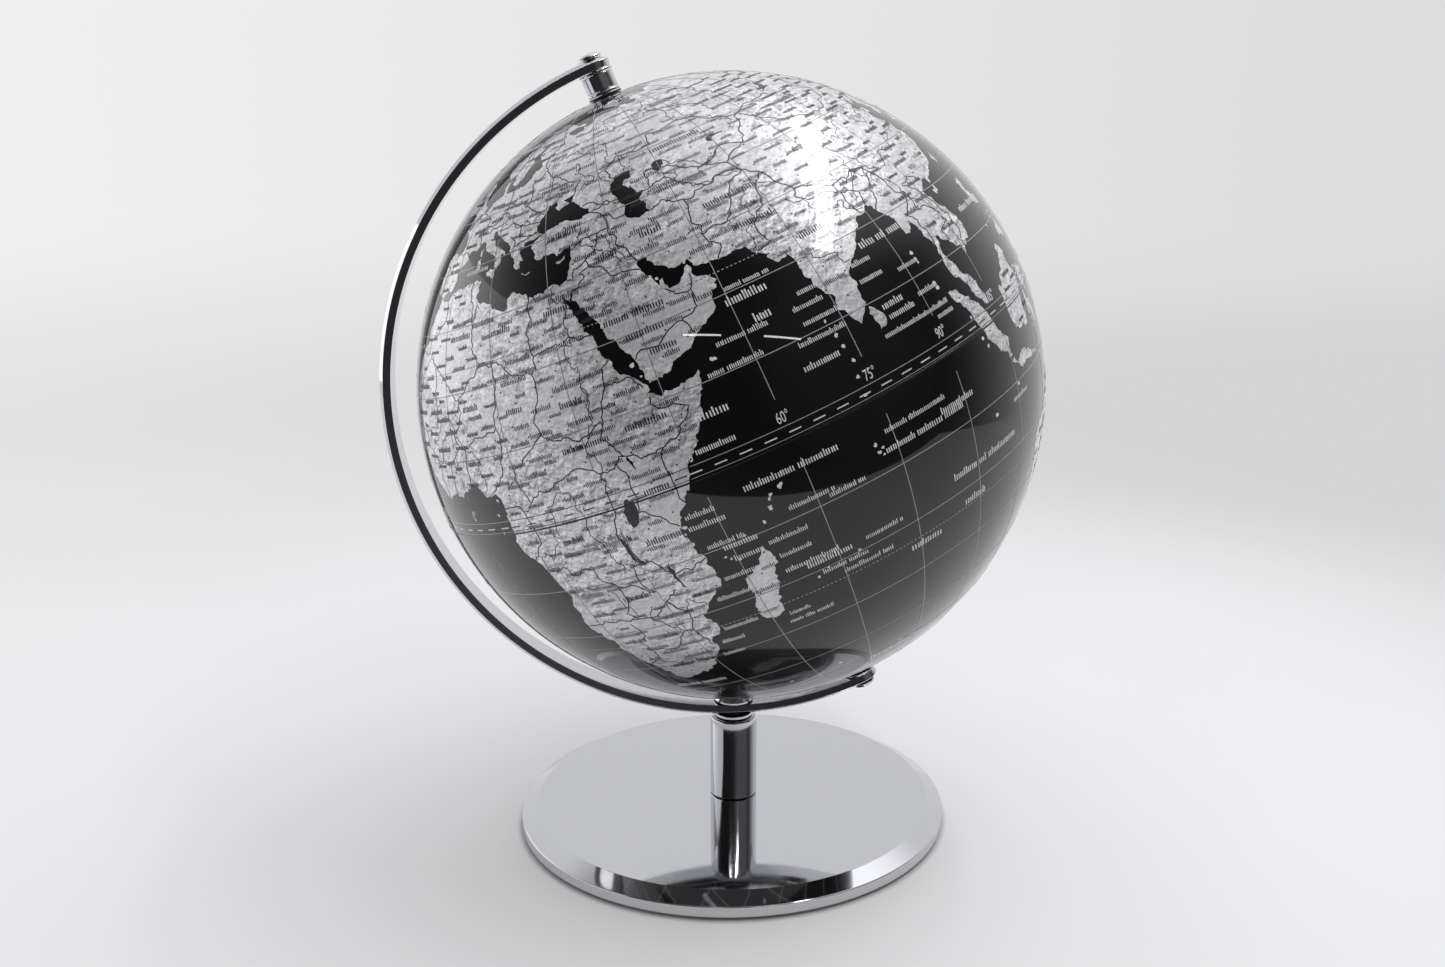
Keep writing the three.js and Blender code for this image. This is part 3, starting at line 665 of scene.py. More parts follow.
LAKES = {
    "caspian_sea": """
        47.6 45.4, 49.2 46.4, 51.6 46.9, 53.1 46.7, 52.9 45.3, 51.2 45.2, 50.4 44.3, 51.4 43.2, 52.6 42.4,
        52.6 41.4, 54.4 41.6, 53.7 40.7, 53 39.8, 53.9 38.6, 53.9 37.1, 51.6 36.7, 49.6 37.5, 48.9 38.6,
        49.5 40.3, 48.4 42.1, 47.5 43.2, 47.3 44.4""",
    "aral_sea": "58.4 45.8, 60 46.5, 61.4 46.2, 60.6 44.8, 59.2 43.9, 58.3 44.6",
    "lake_balkhash": "73.7 45.6, 74 46.6, 76 46.9, 79 46.7, 78.8 46.4, 75.6 46.3, 74.6 45.3",
    "lake_baikal": "103.8 51.6, 106 53.3, 108.6 55.4, 109.8 55.7, 109.4 54, 107 52.3",
    "lake_victoria": "31.8 -.4, 32.6 .3, 34.1 .2, 34 -1, 33.5 -2.2, 32.3 -2.7, 31.8 -1.6",
    "lake_tanganyika": "29.1 -3.4, 29.7 -4.4, 29.9 -6, 31.1 -8.6, 30.6 -8.7, 29.3 -6.4, 29 -4.3",
    "lake_malawi": "34 -9.6, 34.7 -11.4, 35.2 -14.2, 34.6 -14.1, 34.2 -12.2, 33.9 -10.5",
    "lake_turkana": "36 4.6, 36.6 3.6, 36.7 2.5, 36.3 2.9, 35.8 4",
    "lake_superior": "-92 46.8, -88 48.6, -84.8 46.6, -87.5 46.5",
    "lake_michigan": "-87.6 41.8, -87.4 45, -85.2 45.8, -86.2 42.6",
    "lake_huron": "-82.4 43.2, -84 45.8, -80.2 45.5, -81.6 43.9",
    "great_bear_lake": "-124 66, -120 67, -118.5 65.3, -122 64.9",
    "lake_winnipeg": "-98.9 53.6, -97 52.5, -96.4 50.6, -97.6 51.8",
}

# Borders and rivers, as open lines of "longitude latitude" pairs. A semicolon ends each line.
BORDERS = """
    -2.2 35, -1.3 32.5, -3.5 31, -8.7 28.7, -8.7 27.3, -4.8 25, 1.2 21.1, 3.2 19.1, 4.3 19.2, 7.5 21,
    12 23.5; 8.6 36.9, 8.3 34.7, 9.1 32.1, 9.5 30.3, 9.9 26.5, 9.4 26.2, 12 23.5, 14.2 22.6, 15 23,
    24 19.5, 25 20, 25 22; 11.5 33.2, 10.3 31.7, 9.5 30.3; 25 31.6, 24.9 29.5, 25 22, 31.4 22, 36.9 22;
    24 19.5, 24 15.7, 22.2 13, 22.9 11.1, 19 9, 15.5 7.5, 14.6 5.9, 16.2 2.2, 18.6 3.5, 22.3 4.1,
    27.4 5.1; 15 23, 15.5 20, 13.6 13.7, 14.2 12.5, 13.2 9.6, 11.3 6.6, 8.6 4.8; 4.3 19.2, 3.5 15.3,
    .3 15, 3.6 11.7, 7.5 13.1, 13.6 13.7; 27.4 5.1, 30.8 3.5, 34 4.2, 35.9 4.6, 33 7.8, 34.1 9.5,
    33.9 10.2, 28 9.4, 24.8 9.8, 22.9 11.1; 34.1 9.5, 35 11.8, 36.4 14.3, 37 17, 38.6 18; 36.4 14.3,
    40 14.5, 42.4 12.5; 42.8 11, 43.2 9.4, 48 8, 45 5, 41.9 4, 38.1 3.6, 35.9 4.6; 41.9 4, 41 2.8, 41 -.9,
    41.6 -1.7; 34 4.2, 35 1.9, 34 -1, 37.7 -3.1, 39.2 -4.7; 30.8 3.5, 31.3 2.2, 29.6 -1.4, 29 -2.8,
    29.4 -4.4, 30.8 -8.3, 28.7 -8.5, 28.4 -11.8, 29.8 -13.4; 29.8 -13.4, 27.2 -11.6, 24 -10.9, 21.9 -9.5,
    21.8 -7.3, 17 -7.5, 16.3 -5.9, 12.4 -6; 30.8 -8.3, 32.9 -9.4, 34.6 -11.6, 37.5 -11.7, 40.4 -10.5;
    33.2 -14, 30.4 -15.6, 27 -17.9, 25.2 -17.8, 23.4 -17.6, 22 -16.2, 24 -12.9, 24 -10.9; 11.8 -17.3,
    14 -17.4, 18.5 -17.4, 21.4 -17.9, 23.4 -17.6; 21 -18.3, 21 -22, 20 -22, 20 -28.4, 16.6 -28.5;
    20 -24.8, 23 -25.3, 25.6 -25.6, 29.4 -22.2, 27.7 -20.5, 25.2 -17.8; 29.4 -22.2, 31.3 -22.4,
    32.7 -18.7, 30.4 -15.6; 31.3 -22.4, 32 -26.8, 32.9 -26.9; 9.8 2.3, 13.3 2.2, 16.2 2.2; 13.3 2.2,
    14.4 -1.5, 11.2 -3.9; -8.7 27.3, -13.2 27.7; -17 21.4, -13 21.3, -13 23, -8.7 26, -4.8 25, -5.5 16.4,
    -5.5 15.5, -11.9 14.8, -16.5 16; -11.9 14.8, -11.4 12.4, -16.7 12.4; -11.4 12.4, -8 10.2, -8.3 7.6,
    -7.5 4.4; -8 10.2, -5.5 10.4, -2.8 9.6, -3.1 5.1; -5.5 10.4, -4 13.4, .3 15; -2.8 9.6, 0 11, 3.6 11.7,
    2.7 6.4; 35 29.4, 36.5 29.5, 38 31, 37 31.5, 39.2 32.2, 42 31.1, 44.7 29.2, 46.5 29, 48.4 28.5;
    42.8 16.4, 44.2 17.4, 47 17, 52 19, 55 20, 55.2 22.7, 52.6 22.9, 51.3 24.2; 52 19, 53.1 16.7;
    55.2 22.7, 56 24.9; 36 36, 38 36.8, 42.4 37.1, 44.8 37.2, 46 35, 45.4 34, 47.7 31, 48.5 29.9;
    42.4 37.1, 41 34.4, 38.8 33.4, 39.2 32.2; 38.8 33.4, 36 32.7, 35.6 31, 34.3 31.3; 44.8 37.2,
    44.4 39.8, 41.5 41.5, 46.5 41.9, 48.6 41.8; 44.4 39.8, 48.9 38.4; 40 43.4, 46.5 41.9; 53.9 37.3,
    57.2 38.2, 61.2 36.6, 60.9 34.3, 61 31.5, 61.8 31, 61 29.8, 63.2 27.2, 61.6 25.2; 61.2 36.6,
    64.5 37.2, 67.8 37.2, 71.4 38.2, 74.9 37.3, 71.2 36.2, 69.3 33.1, 66.3 29.9, 61 29.8; 68.2 23.7,
    71 24.4, 70.4 27.9, 73.9 30, 74.6 32.7, 77.8 35.5, 74.9 37.3; 77.8 35.5, 79 32.5, 81 30.2, 88.1 27.9,
    92 27.8, 97.3 28.2; 81 30.2, 80.1 28.8, 84 27.3, 88.1 26.4, 88.1 27.9; 89 21.9, 88.1 24.5, 88.6 26.3,
    92.3 25.1, 91.3 23.5, 92.3 21.3, 94.6 24.7, 97.3 28.2, 98.7 25.5, 99.2 22.1, 101.1 21.6; 101.1 21.6,
    97.5 18.3, 99.1 15, 98.7 11.7; 102.1 22.4, 104.8 20.3, 107.4 15, 106 11; 102.1 22.4, 105.3 23.3,
    108 21.6; 101.1 21.6, 101 18, 104.7 17, 105.6 14.3, 102.4 13.6, 102.9 11.7; 49 46.4, 47 49, 51 51.6,
    61 50.8, 62 54, 71 54.2, 77 53.3, 80 50.8, 87.3 49.1, 82.5 45.2, 80.2 42.2; 80.2 42.2, 73.5 43,
    70.8 42, 68 41, 66 42, 61 44.3, 56 45, 56 41.3, 52.5 41.8; 56 41.3, 60 42.2, 62.5 39.5, 66.6 37.4;
    73.5 43, 69.3 40.8, 73.7 39.5, 74.9 37.3; 80.2 42.2, 73.7 39.5; 87.3 49.1, 92 50.7, 98.2 50.6,
    102.2 51.4, 108 49.6, 116.7 49.8, 119.8 46.8, 111.9 43.7, 105 41.6, 96.4 42.7, 90.9 45.2, 87.3 49.1;
    116.7 49.8, 121 53.3, 126 52.8, 130.6 47.8, 134.7 48.4, 131 44.9, 130.6 42.4, 127 41.6, 124.4 40;
    126.7 37.8, 128.4 38.6; 28 60, 28 56, 31 53, 34 51.5, 40 49.6, 38.3 47.1; 28 56, 23.6 54, 23.6 51.5,
    24 49, 22.2 48.4, 28.2 45.5; 14.2 53.9, 15 51, 18.8 49.5, 22.6 49.1; 2.5 51, 6 50, 8 49, 7.6 47.6,
    6 46, 7 44; 7.6 47.6, 13 47.5, 13 48.8, 17 48, 16 46.8, 13.7 46.5, 7 45.9; -1.8 43.4, 3.1 42.4;
    -8.8 41.9, -6.5 41.5, -7.3 38.5, -7.4 37.2; 13.7 45.6, 16 45.3, 19 45.9, 22.5 44.7, 28.5 43.8;
    22.5 44.7, 22.4 42.3, 26.3 41.7, 28 42; 20 42.6, 21 40.9, 22.9 41.4, 26.3 41.7; 28 60.6, 31.5 62.9,
    29 69, 20.5 69, 16 68, 12 63, 11.2 59; -122.8 49, -95.2 49, -89 48, -84.5 46.5, -82.5 43, -79 43.2,
    -75 45, -71.5 45, -69 47.4, -67 45; -141 69.6, -141 60.3, -130 55.5; -117.1 32.5, -111 31.3,
    -106.5 31.8, -101.4 29.8, -97.2 26; -51.7 4, -54.6 2.3, -60 5, -64.5 4, -67 1.2, -69.5 -1, -69.9 -4.2,
    -73 -7.4, -70.6 -9.5, -65.4 -9.8, -60.5 -13.7; -60.5 -13.7, -58 -18, -58 -20.2, -54.5 -24, -53.8 -27,
    -57.6 -30.2, -53.4 -33.7; -69.9 -4.2, -75.5 -.2, -78.8 1.4; -75.5 -.2, -80.2 -3.4; -67 1.2, -67.5 6,
    -72.4 7.5, -71.3 11.8; -69.5 -10.9, -69 -17, -67 -22.8, -62.6 -22.2, -58 -20.2; -67 -22.8, -70 -30,
    -70.5 -36, -71.8 -44, -72.3 -51, -68.6 -52.6; -62.6 -22.2, -57.6 -25.3, -54.6 -25.6; 129 -14.9,
    129 -31.7; 138 -16.5, 138 -26, 141 -26, 141 -38; 129 -26, 138 -26; 141 -29, 149 -29, 153.4 -28.2;
    141 -34, 144 -36, 150 -37.4"""

RIVERS = """
    31.2 31.4, 31 29, 32.8 26, 32.8 24, 31 20, 33 18.5, 32.5 15.6, 32.6 12, 31.5 9.5, 31.6 4.8, 31.4 1;
    32.5 15.6, 35 11.8, 37.3 11.5; 12.3 -6, 15.3 -4.3, 17.7 -.5, 21 2, 25 .5, 26 -4, 26.9 -9; 6 4.4,
    6.7 7.8, 4 11.5, 0 16.5, -3 16.8, -6 13.5, -10.5 9.5; 36.3 -18.8, 33.5 -16.4, 28.8 -16.5, 25.8 -17.9,
    23 -15, 22 -11.8; 16.5 -28.6, 20 -28.5, 24 -29.3, 28 -30.5; 48.5 30, 45 33, 43 36.5, 40 38; 47.4 31,
    42 34, 38.5 36, 39 39.5; 67.5 24, 68.5 27.5, 71 30.5, 73 34.5, 78 33; 90 22.5, 87 25.2, 82 25.5,
    78 29.5; 90 24, 92 26.3, 95.5 28, 94 29.3, 88 29.3, 83 30; 81.8 16.5, 79 18.7, 74 20; 47.8 46,
    45 48.6, 49 53, 49 55.8, 44 56.4, 38 57.7, 33 57; 51.8 47, 51.3 51, 58 52; 69 66.5, 65.5 63, 70 61,
    78 59, 84 56, 85 52.5; 69 61, 71 57, 75 53, 84 48; 83 70, 87 66, 90 61, 92.5 56, 94 51.5; 127 72,
    124 66, 130 62.5, 120 60.3, 107.5 54.5; 141 53, 136 49.5, 130 48, 125 53, 120 53; 121.5 31.5,
    117 30.8, 112 30, 106 29.5, 101 26.5, 98 30, 92 34; 118.8 37.6, 113 35, 110.5 37.5, 110 40.2,
    106.5 39, 103.5 36, 98 34.5; 106 10, 105.8 14.5, 104.5 17, 101.5 20, 98.8 26, 95 32; 61 46, 65 44.5,
    70 41; 59 43.5, 63 39.5, 68 37.2, 74 37.3; 29.5 45, 26 44, 20.3 45, 18.8 48, 12 48.7; 32.5 46.5,
    35 48, 31 51, 31 54.5; 39.3 47, 44 48.5, 40 51, 38.7 54; -89.3 29.2, -91 33, -89.3 37, -91 41,
    -93.3 45, -95 47.3; -90.3 38.7, -95 40, -99 44, -104 48, -111 47; -50.5 -.3, -58 -3, -64 -3.5, -70 -4,
    -73.5 -5, -75.5 -10; -58.4 -34, -60.5 -31, -58.7 -27.3, -54.5 -25, -50 -20.5; -135 69, -128 65.5,
    -118 61.5; 139 -35.5, 142 -34.2, 147 -36"""

# Small islands drawn as dots: longitude, latitude.
ISLETS = """
    55.5 -4.6, 55.8 -4.3, 53.7 -5.2, 53.3 -5.7, 52.9 -7, 51.2 -8.7, 47.5 -9.4, 43.3 -11.6, 44 -12.2,
    45.2 -12.8, 55.5 -21.1, 57.6 -20.2, 63.4 -19.7, 39.3 -6.1, 39.8 -5.1, 39.7 -7.9, 73 .5, 73.1 2,
    73.5 4.2, 73 6.5, 72.8 8.3, 72.2 10.6, 72.5 -6.2, 71.5 -5.4, 71.8 -6.7, 72.4 -7.3, 53.9 12.5,
    54.3 12.4, 92.8 12.3, 92.8 13.2, 92.9 11.6, 93.6 7.9, 93.8 7, 105.7 -10.4, 96.9 -12.2, 97.8 1.2,
    98.6 -.6, 99.3 -1.9, 69.3 -49.3, 51.7 -46.4, 37.8 -46.9, 50.6 26.1, 56 26.8, 41.9 15.9, 42.7 14,
    24.2 16.6, 24.9 15, -24 16.9, -16.3 28.3, -14 28.5, -17 32.7, -25.5 37.8, -28 38.6, 6.7 .2, 7.4 1.6,
    8.7 3.5, -5.7 -16, -14.4 -8, 115.2 -8.4, 116.4 -8.6, 118 -8.6, 121 -8.7, 124.5 -9.3, 120 -9.8,
    123.5 10.3, 124.9 11, 122.5 11, 118.5 9.8, 127.8 .8, 128.5 -3.2, 126.7 -3.3, 134.5 7.4, 144.8 13.5,
    145.7 15.2, 151.8 -5.4, 155 -6.2, 157.5 -8.2, 160 -9.5, 165.5 -21.3, 167 -15.5, 168.3 -17.7,
    178 -17.8, 179.3 -16.6, -175.2 -21.1, -172 -13.6, -149.4 -17.6, -140 -9.5, -155.6 19.6, -157.9 21.5,
    -159.5 22, -109.4 -27.1, -91 -.6, -66.5 18.2, -61.5 16.2, -61 14.6, -59.5 13.2, -61.3 10.5,
    -77.3 18.1, -77.5 24.5, -76 26, -64.8 32.3, -59 -51.7, -60.2 -51.8, -36.8 -54.3, -176.5 -44,
    166 -50.8, 158.9 -54.6, 170 57, 173 52.8, -177 51.8, -172 52.3, 147 44.5, 151.8 46.8, 154.6 49.2,
    128 26.5, 130.3 30.4, -6.9 62"""

MAP_TURN = -145.2  # degrees from the map's own zero meridian to the arc's plane
SEAM_GAP = {"north": 2.0, "south": -0.8}  # degrees that the print is moved away from the seam
STRETCH = {"north": 3.0, "south": 2.2}  # degrees more at 45 degrees from the seam
PATCH = {"spacing": 2.6, "height": 0.05, "root": -0.3, "lake_lift": 0.03}
ISLAND_POINTS = 150  # a coast with fewer points than this is joined to the islands
LINE_ROOT = -0.1  # how deep printed lines, bars and dots reach into the shell
LINES = {"borders": (0.42, 0.11), "rivers": (0.3, 0.2)}  # width, and how uneven they run
GRID = {
    "parallels": [latitude for latitude in range(-80, 81, 10) if latitude], "parallel_width": 0.28,
    "meridians": range(-180, 180, 15), "meridian_spans": ((6.5, 84), (-84, -3)), "meridian_width": 0.26,
    "circles": (-66.5, -23.4, 23.4, 66.5), "circle_width": 0.3,
}
# Lines beside the equator: latitude, width and length of the dashes in steps.
EQUATOR_RULES = [(2.3, 0.24, 0), (0.45, 0.2, 0), (1.2, 0.42, 4)]
TOWNS = {
    "spacing": 8.2, "radius": 0.34, "pole_limit": 0.93,
    "sizes": (1.6, 2.3), "letters": (4, 8), "beside": 0.4, "drift": 0.8,
}
ISLET_DOTS = {"radii": (0.45, 0.85), "unevenness": (0.6, 1.25)}

# The bars of a place name, as shares of its size, and how far their spacing varies.
LETTER = {"pitch": 0.31, "stroke": 0.15, "heights": (0.56, 0.6, 0.6, 0.64, 0.64, 0.86), "vary": (0.85, 1.15)}
NUMERAL = {"size": 5.2, "squeeze": 0.62, "latitude": 2.9, "thickness": 0.09, "lift": 0.04}

# Place names at sea, as longitude, latitude, letter size and the number of letters in each word.
SEA_CAPTIONS = [
    (59.5, 18.2, 3.4, 7), (62.5, 14.6, 3.4, 3), (55.4, 13.6, 2.3, 7, 5), (52.4, 10.2, 2.3, 4, 9),
    (60.2, 20.3, 2.0, 5, 5, 2), (48.2, 5.4, 3.4, 5), (46.2, 1.6, 2.5, 9), (50.5, -3.4, 2.9, 10, 8),
    (55.5, -8.6, 2.2, 10, 1), (62, -9.4, 2.2, 7, 2), (40.5, -4.2, 2.3, 7), (40.2, -6, 2.5, 8),
    (41.5, -9.6, 2.2, 7, 2), (43.8, -10.6, 2.7, 7), (44.6, -12.8, 2.5, 6), (50.5, -12.4, 2.2, 10),
    (51.2, -15.2, 2.2, 8), (51, -18, 2.5, 12), (54.5, -18.9, 2.9, 9), (56.5, -21, 2.3, 6, 5),
    (60, -22.6, 2.3, 9, 3), (65.2, -18.6, 2.2, 9, 1), (41.5, -15.4, 2.3, 10), (38.5, -18.6, 2.2, 9),
    (36.3, -24.6, 2.3, 9), (34.2, -27.4, 2.3, 6), (32.5, -30.5, 2.2, 6), (48.2, -26.2, 2.0, 6),
    (47.5, -28, 2.0, 4, 3, 5), (73, -25.2, 3.4, 6), (86, -23, 3.4, 5), (84, -17.6, 3.2, 6, 2, 9),
    (73.8, -4.6, 2.3, 6, 11), (73, -7.4, 2.9, 7, 6, 5), (84.5, -6.6, 2.9, 9), (66, 5.6, 2.7, 8),
    (66.8, 8.8, 2.2, 13), (69, 11.2, 2.2, 11), (68.5, 13.5, 2.2, 8), (70.4, 15.4, 2.2, 6),
    (80.9, 12.8, 2.3, 7), (81, 15.4, 2.2, 6), (82.2, 8.2, 2.9, 5), (82.5, 6.6, 2.5, 7),
    (80.2, 4.6, 2.0, 24), (84.6, 17.2, 3.4, 3, 2, 6), (88.5, 11.8, 2.2, 7), (89.5, 7.4, 2.2, 7),
    (91, 3.2, 2.2, 6), (103, -12.6, 2.2, 9), (14, -38, 3.4, 5, 5), (-30, 6, 3.4, 8), (-28, 0, 3.4, 5),
    (-30, -28, 3.4, 5, 8), (-40, 34, 3.4, 5, 8), (-160, 30, 3.4, 5, 7), (-140, -28, 3.4, 5, 7),
    (-125, 8, 3.4, 7), (156, 22, 3.4, 7, 5), (150, -36, 3.4, 6, 3), (5, 38.6, 2.2, 9),
    (-90, 25, 3.2, 4, 2, 6), (-78, 15, 3.2, 9, 3), (-170, -60, 3.4, 8, 5), (60, -52, 3.4, 8, 5),
    (0, 66, 3.2, 9, 3), (40, 73, 3.2, 7, 3), (112, 14, 2.9, 5, 5, 3), (132, 40, 2.2, 3, 2, 5),
]

# Country names on land, in the same form.
LAND_CAPTIONS = [
    (28, 13.5, 2.9, 5), (17, 15, 2.9, 4), (15.5, 27, 2.9, 5), (28.5, 27, 2.9, 5), (39.5, 22.2, 2.9, 5, 6),
    (42.5, 19.2, 2.9, 7), (45.5, 16.2, 2.9, 5), (55, 20.6, 2.5, 4), (41.5, 32.4, 2.9, 4),
    (50.5, 33.2, 2.9, 4), (37.5, 7.6, 2.9, 8), (36.4, .2, 2.9, 5), (33, -6, 2.9, 8), (26, 7.4, 2.7, 5, 5),
    (5.5, 17, 2.9, 5), (2, 28, 2.9, 7), (19, -2.6, 2.9, 5), (18, -4.4, 2.4, 10, 8), (23.5, -14, 2.9, 6),
    (15.5, -12, 2.9, 6), (22, -22.5, 2.7, 8), (15.5, -21, 2.5, 7), (21, -30.5, 2.9, 5, 6),
    (28, -19, 2.4, 8), (35, -16.5, 2.2, 10), (31, 39, 2.9, 6), (64, 33.5, 2.9, 11), (66.5, 28, 2.9, 8),
    (76, 22.5, 2.9, 5), (60, 48.5, 2.9, 10), (56.5, 39.6, 2.4, 12), (88, 36, 2.9, 5), (70, 62, 2.9, 6),
    (98, 47, 2.9, 8), (10, 50.6, 2.4, 7), (2, 46.6, 2.5, 6), (-5, 40, 2.5, 5), (28, 49.5, 2.5, 7),
    (43.5, -19.6, 2.2, 10), (-52, -10, 2.9, 6), (-68, -36, 2.9, 9), (-108, 40, 2.9, 6, 6),
    (-112, 57, 2.9, 6), (-105, 25, 2.9, 6), (125, -25, 2.9, 9), (-46, 72, 2.9, 9), (96, 20.5, 2.4, 7),
    (20, 64, 2.4, 6),
]


def printed_latitude(latitude):
    """Where the print shows a latitude: the seam moves it, and it is stretched most at 45 degrees."""
    middle = (SEAM_GAP["north"] + SEAM_GAP["south"]) / 2
    spread = (SEAM_GAP["north"] - SEAM_GAP["south"]) / 2
    gap = middle + spread * np.tanh(latitude - 0.5)
    swell = np.where(latitude > 0, STRETCH["north"], STRETCH["south"]) * np.sin(2 * np.radians(latitude))
    return latitude + gap * np.cos(np.radians(latitude)) + swell


def direction(longitude, latitude):
    """Unit vectors on the globe for globe longitude and latitude in degrees."""
    lon, lat = np.radians(np.asarray(longitude, float) + MAP_TURN), np.radians(np.asarray(latitude, float))
    return np.stack([np.cos(lat) * np.cos(lon), np.cos(lat) * np.sin(lon), np.sin(lat)], -1)


def parse(text):
    return np.array([[float(value) for value in pair.split()] for pair in text.split(",")])


def roughened(path, rng, closed=True, step=0.55, share=0.13):
    """Breaks a path up into short uneven stretches, as a coast or a river is."""
    points = [tuple(p) for p in path] + ([tuple(path[0])] if closed else [])
    out = []

    def split(a, b):
        squash = max(0.15, math.cos(math.radians((a[1] + b[1]) / 2)))
        dx, dy = (b[0] - a[0]) * squash, b[1] - a[1]
        length = math.hypot(dx, dy)
        if length < step:
            out.append(a)
            return
        push = rng.gauss(0, share)
        middle = ((a[0] + b[0]) / 2 - push * dy / squash, (a[1] + b[1]) / 2 + push * dx)
        split(a, middle)
        split(middle, b)

    for a, b in zip(points, points[1:]):
        split(a, b)
    if not closed:
        out.append(points[-1])
    return np.array(out)


class Flat:
    """Flat chart about a centre, on which distances from the centre are true."""

    def __init__(self, vectors):
        self.up = vectors.mean(0)
        self.up /= np.linalg.norm(self.up)
        side = np.cross(self.up, (0.3, 0.2, 0.9))
        self.east = side / np.linalg.norm(side)
        self.north = np.cross(self.up, self.east)

    def lay(self, vectors):
        angle = np.arccos(np.clip(vectors @ self.up, -1, 1))
        x, y = vectors @ self.east, vectors @ self.north
        size = np.maximum(np.hypot(x, y), 1e-12)
        return np.stack([angle * x / size, angle * y / size], -1)

    def lift(self, spots):
        angle = np.hypot(spots[:, 0], spots[:, 1])
        size = np.maximum(angle, 1e-12)
        x, y = spots[:, 0] / size * np.sin(angle), spots[:, 1] / size * np.sin(angle)
        return x[:, None] * self.east + y[:, None] * self.north + np.cos(angle)[:, None] * self.up


def inside(outline, spots):
    """Whether each spot is inside a closed flat outline."""
    within = np.zeros(len(spots), bool)
    for (x1, y1), (x2, y2) in zip(outline, np.roll(outline, -1, axis=0)):
        if y1 != y2:
            crosses = (y1 > spots[:, 1]) != (y2 > spots[:, 1])
            within ^= crosses & (spots[:, 0] < (x2 - x1) * (spots[:, 1] - y1) / (y2 - y1) + x1)
    return within


def lattice(spacing):
    """Evenly spread unit vectors all over a sphere, on a spiral."""
    share = 0.87 * spacing ** 2  # area round one point of a triangular pattern
    count = int(4 * math.pi * GLOBE_RADIUS ** 2 / share)
    index = np.arange(count) + 0.5
    z = 1 - 2 * index / count
    angle = index * math.pi * (3 - math.sqrt(5))
    ring = np.sqrt(1 - z * z)
    return np.stack([ring * np.cos(angle), ring * np.sin(angle), z], -1)


LATTICE = lattice(PATCH["spacing"])


def patch(outline, height, root):
    """Closed thin solid that follows the sphere inside an outline of unit vectors: points and faces."""
    chart = Flat(outline)
    flat = chart.lay(outline)
    reach = np.hypot(flat[:, 0], flat[:, 1]).max()
    near = LATTICE[LATTICE @ chart.up > math.cos(min(reach, math.pi))]
    fill = chart.lay(near)
    fill = fill[inside(flat, fill)]
    spots = [Vector(p) for p in np.concatenate([flat, fill])]
    edge = list(range(len(flat)))
    inner_faces_only, merge_distance = 1, 1e-5
    made, _, triangles, *_ = delaunay_2d_cdt(spots, [], [edge], inner_faces_only, merge_distance)
    lifted = chart.lift(np.array([tuple(p) for p in made]))
    count = len(lifted)
    points = np.concatenate([lifted * (GLOBE_RADIUS + height), lifted * (GLOBE_RADIUS + root)])
    a, b, c = lifted[list(triangles[0])]
    if np.dot(np.cross(b - a, c - a), a) < 0:
        triangles = [t[::-1] for t in triangles]
    faces, borders = [], set()
    for triangle in triangles:
        faces.append(list(triangle))
        faces.append([k + count for k in reversed(triangle)])
        for i, j in zip(triangle, [*triangle[1:], triangle[0]]):
            if (j, i) in borders:
                borders.remove((j, i))
            else:
                borders.add((i, j))
    faces += [[j, i, i + count, j + count] for i, j in sorted(borders)]
    return points, faces


def merge(parts):
    """Joins lists of (points, faces) into one."""
    points, faces, start = [], [], 0
    for spots, sides in parts:
        points.append(np.asarray(spots))
        faces += [[k + start for k in side] for side in sides]
        start += len(spots)
    return np.concatenate(points), faces


def map_piece(name, parts, finish):
    """Printed piece of the map. Its normals are the sphere's own, so the lacquer looks unbroken."""
    points, faces = merge(parts)
    radial = points / np.linalg.norm(points, axis=1)[:, None]
    normals = np.concatenate([radial[list(face)] for face in faces])
    return make_piece(name, points, faces, normals, finish, "globe", TILTED)


def ribbon(path, width, height):
    """Closed flat strip along unit vectors."""
    ahead = np.gradient(path, axis=0)
    across = np.cross(path, ahead)
    across /= np.maximum(np.linalg.norm(across, axis=1), 1e-12)[:, None]
    rows = []
    for lift, side in ((height, 1), (height, -1), (LINE_ROOT, -1), (LINE_ROOT, 1)):
        rows.append(path * (GLOBE_RADIUS + lift) + across * side * width / 2)
    points = np.stack(rows, 1).reshape(-1, 3)
    faces = []
    for s in range(len(path) - 1):
        for k in range(4):
            m = (k + 1) % 4
            faces.append([4 * s + k, 4 * s + m, 4 * s + 4 + m, 4 * s + 4 + k])
    last = 4 * (len(path) - 1)
    faces += [[3, 2, 1, 0], [last, last + 1, last + 2, last + 3]]
    return points, faces


def dot(centre, radius, height, sides=8, rng=None):
    """Small closed button on the sphere, uneven if a random source is given."""
    centre = centre / np.linalg.norm(centre)
    east = np.cross((0, 0, 1), centre)
    east /= np.linalg.norm(east)
    north = np.cross(centre, east)
    reaches = [radius * (rng.uniform(*ISLET_DOTS["unevenness"]) if rng else 1) for _ in range(sides)]
    points = []
    for lift in (height, LINE_ROOT):
        hub = centre * (GLOBE_RADIUS + lift)
        for k, reach in enumerate(reaches):
            angle = 2 * math.pi * k / sides
            points.append(hub + reach * (math.cos(angle) * east + math.sin(angle) * north))
    faces = [list(range(sides)), [2 * sides - 1 - k for k in range(sides)]]
    faces += [[(k + 1) % sides, k, k + sides, (k + 1) % sides + sides] for k in range(sides)]
    return np.array(points), faces


class Coast:
    """A closed coast that tells which unit vectors are inside it."""

    def __init__(self, outline):
        self.chart = Flat(outline)
        self.flat = self.chart.lay(outline)
        self.nearest = (outline @ self.chart.up).min()

    def holds(self, spots):
        found = np.zeros(len(spots), bool)
        close = spots @ self.chart.up > self.nearest
        if close.any():
            found[close] = inside(self.flat, self.chart.lay(spots[close]))
        return found


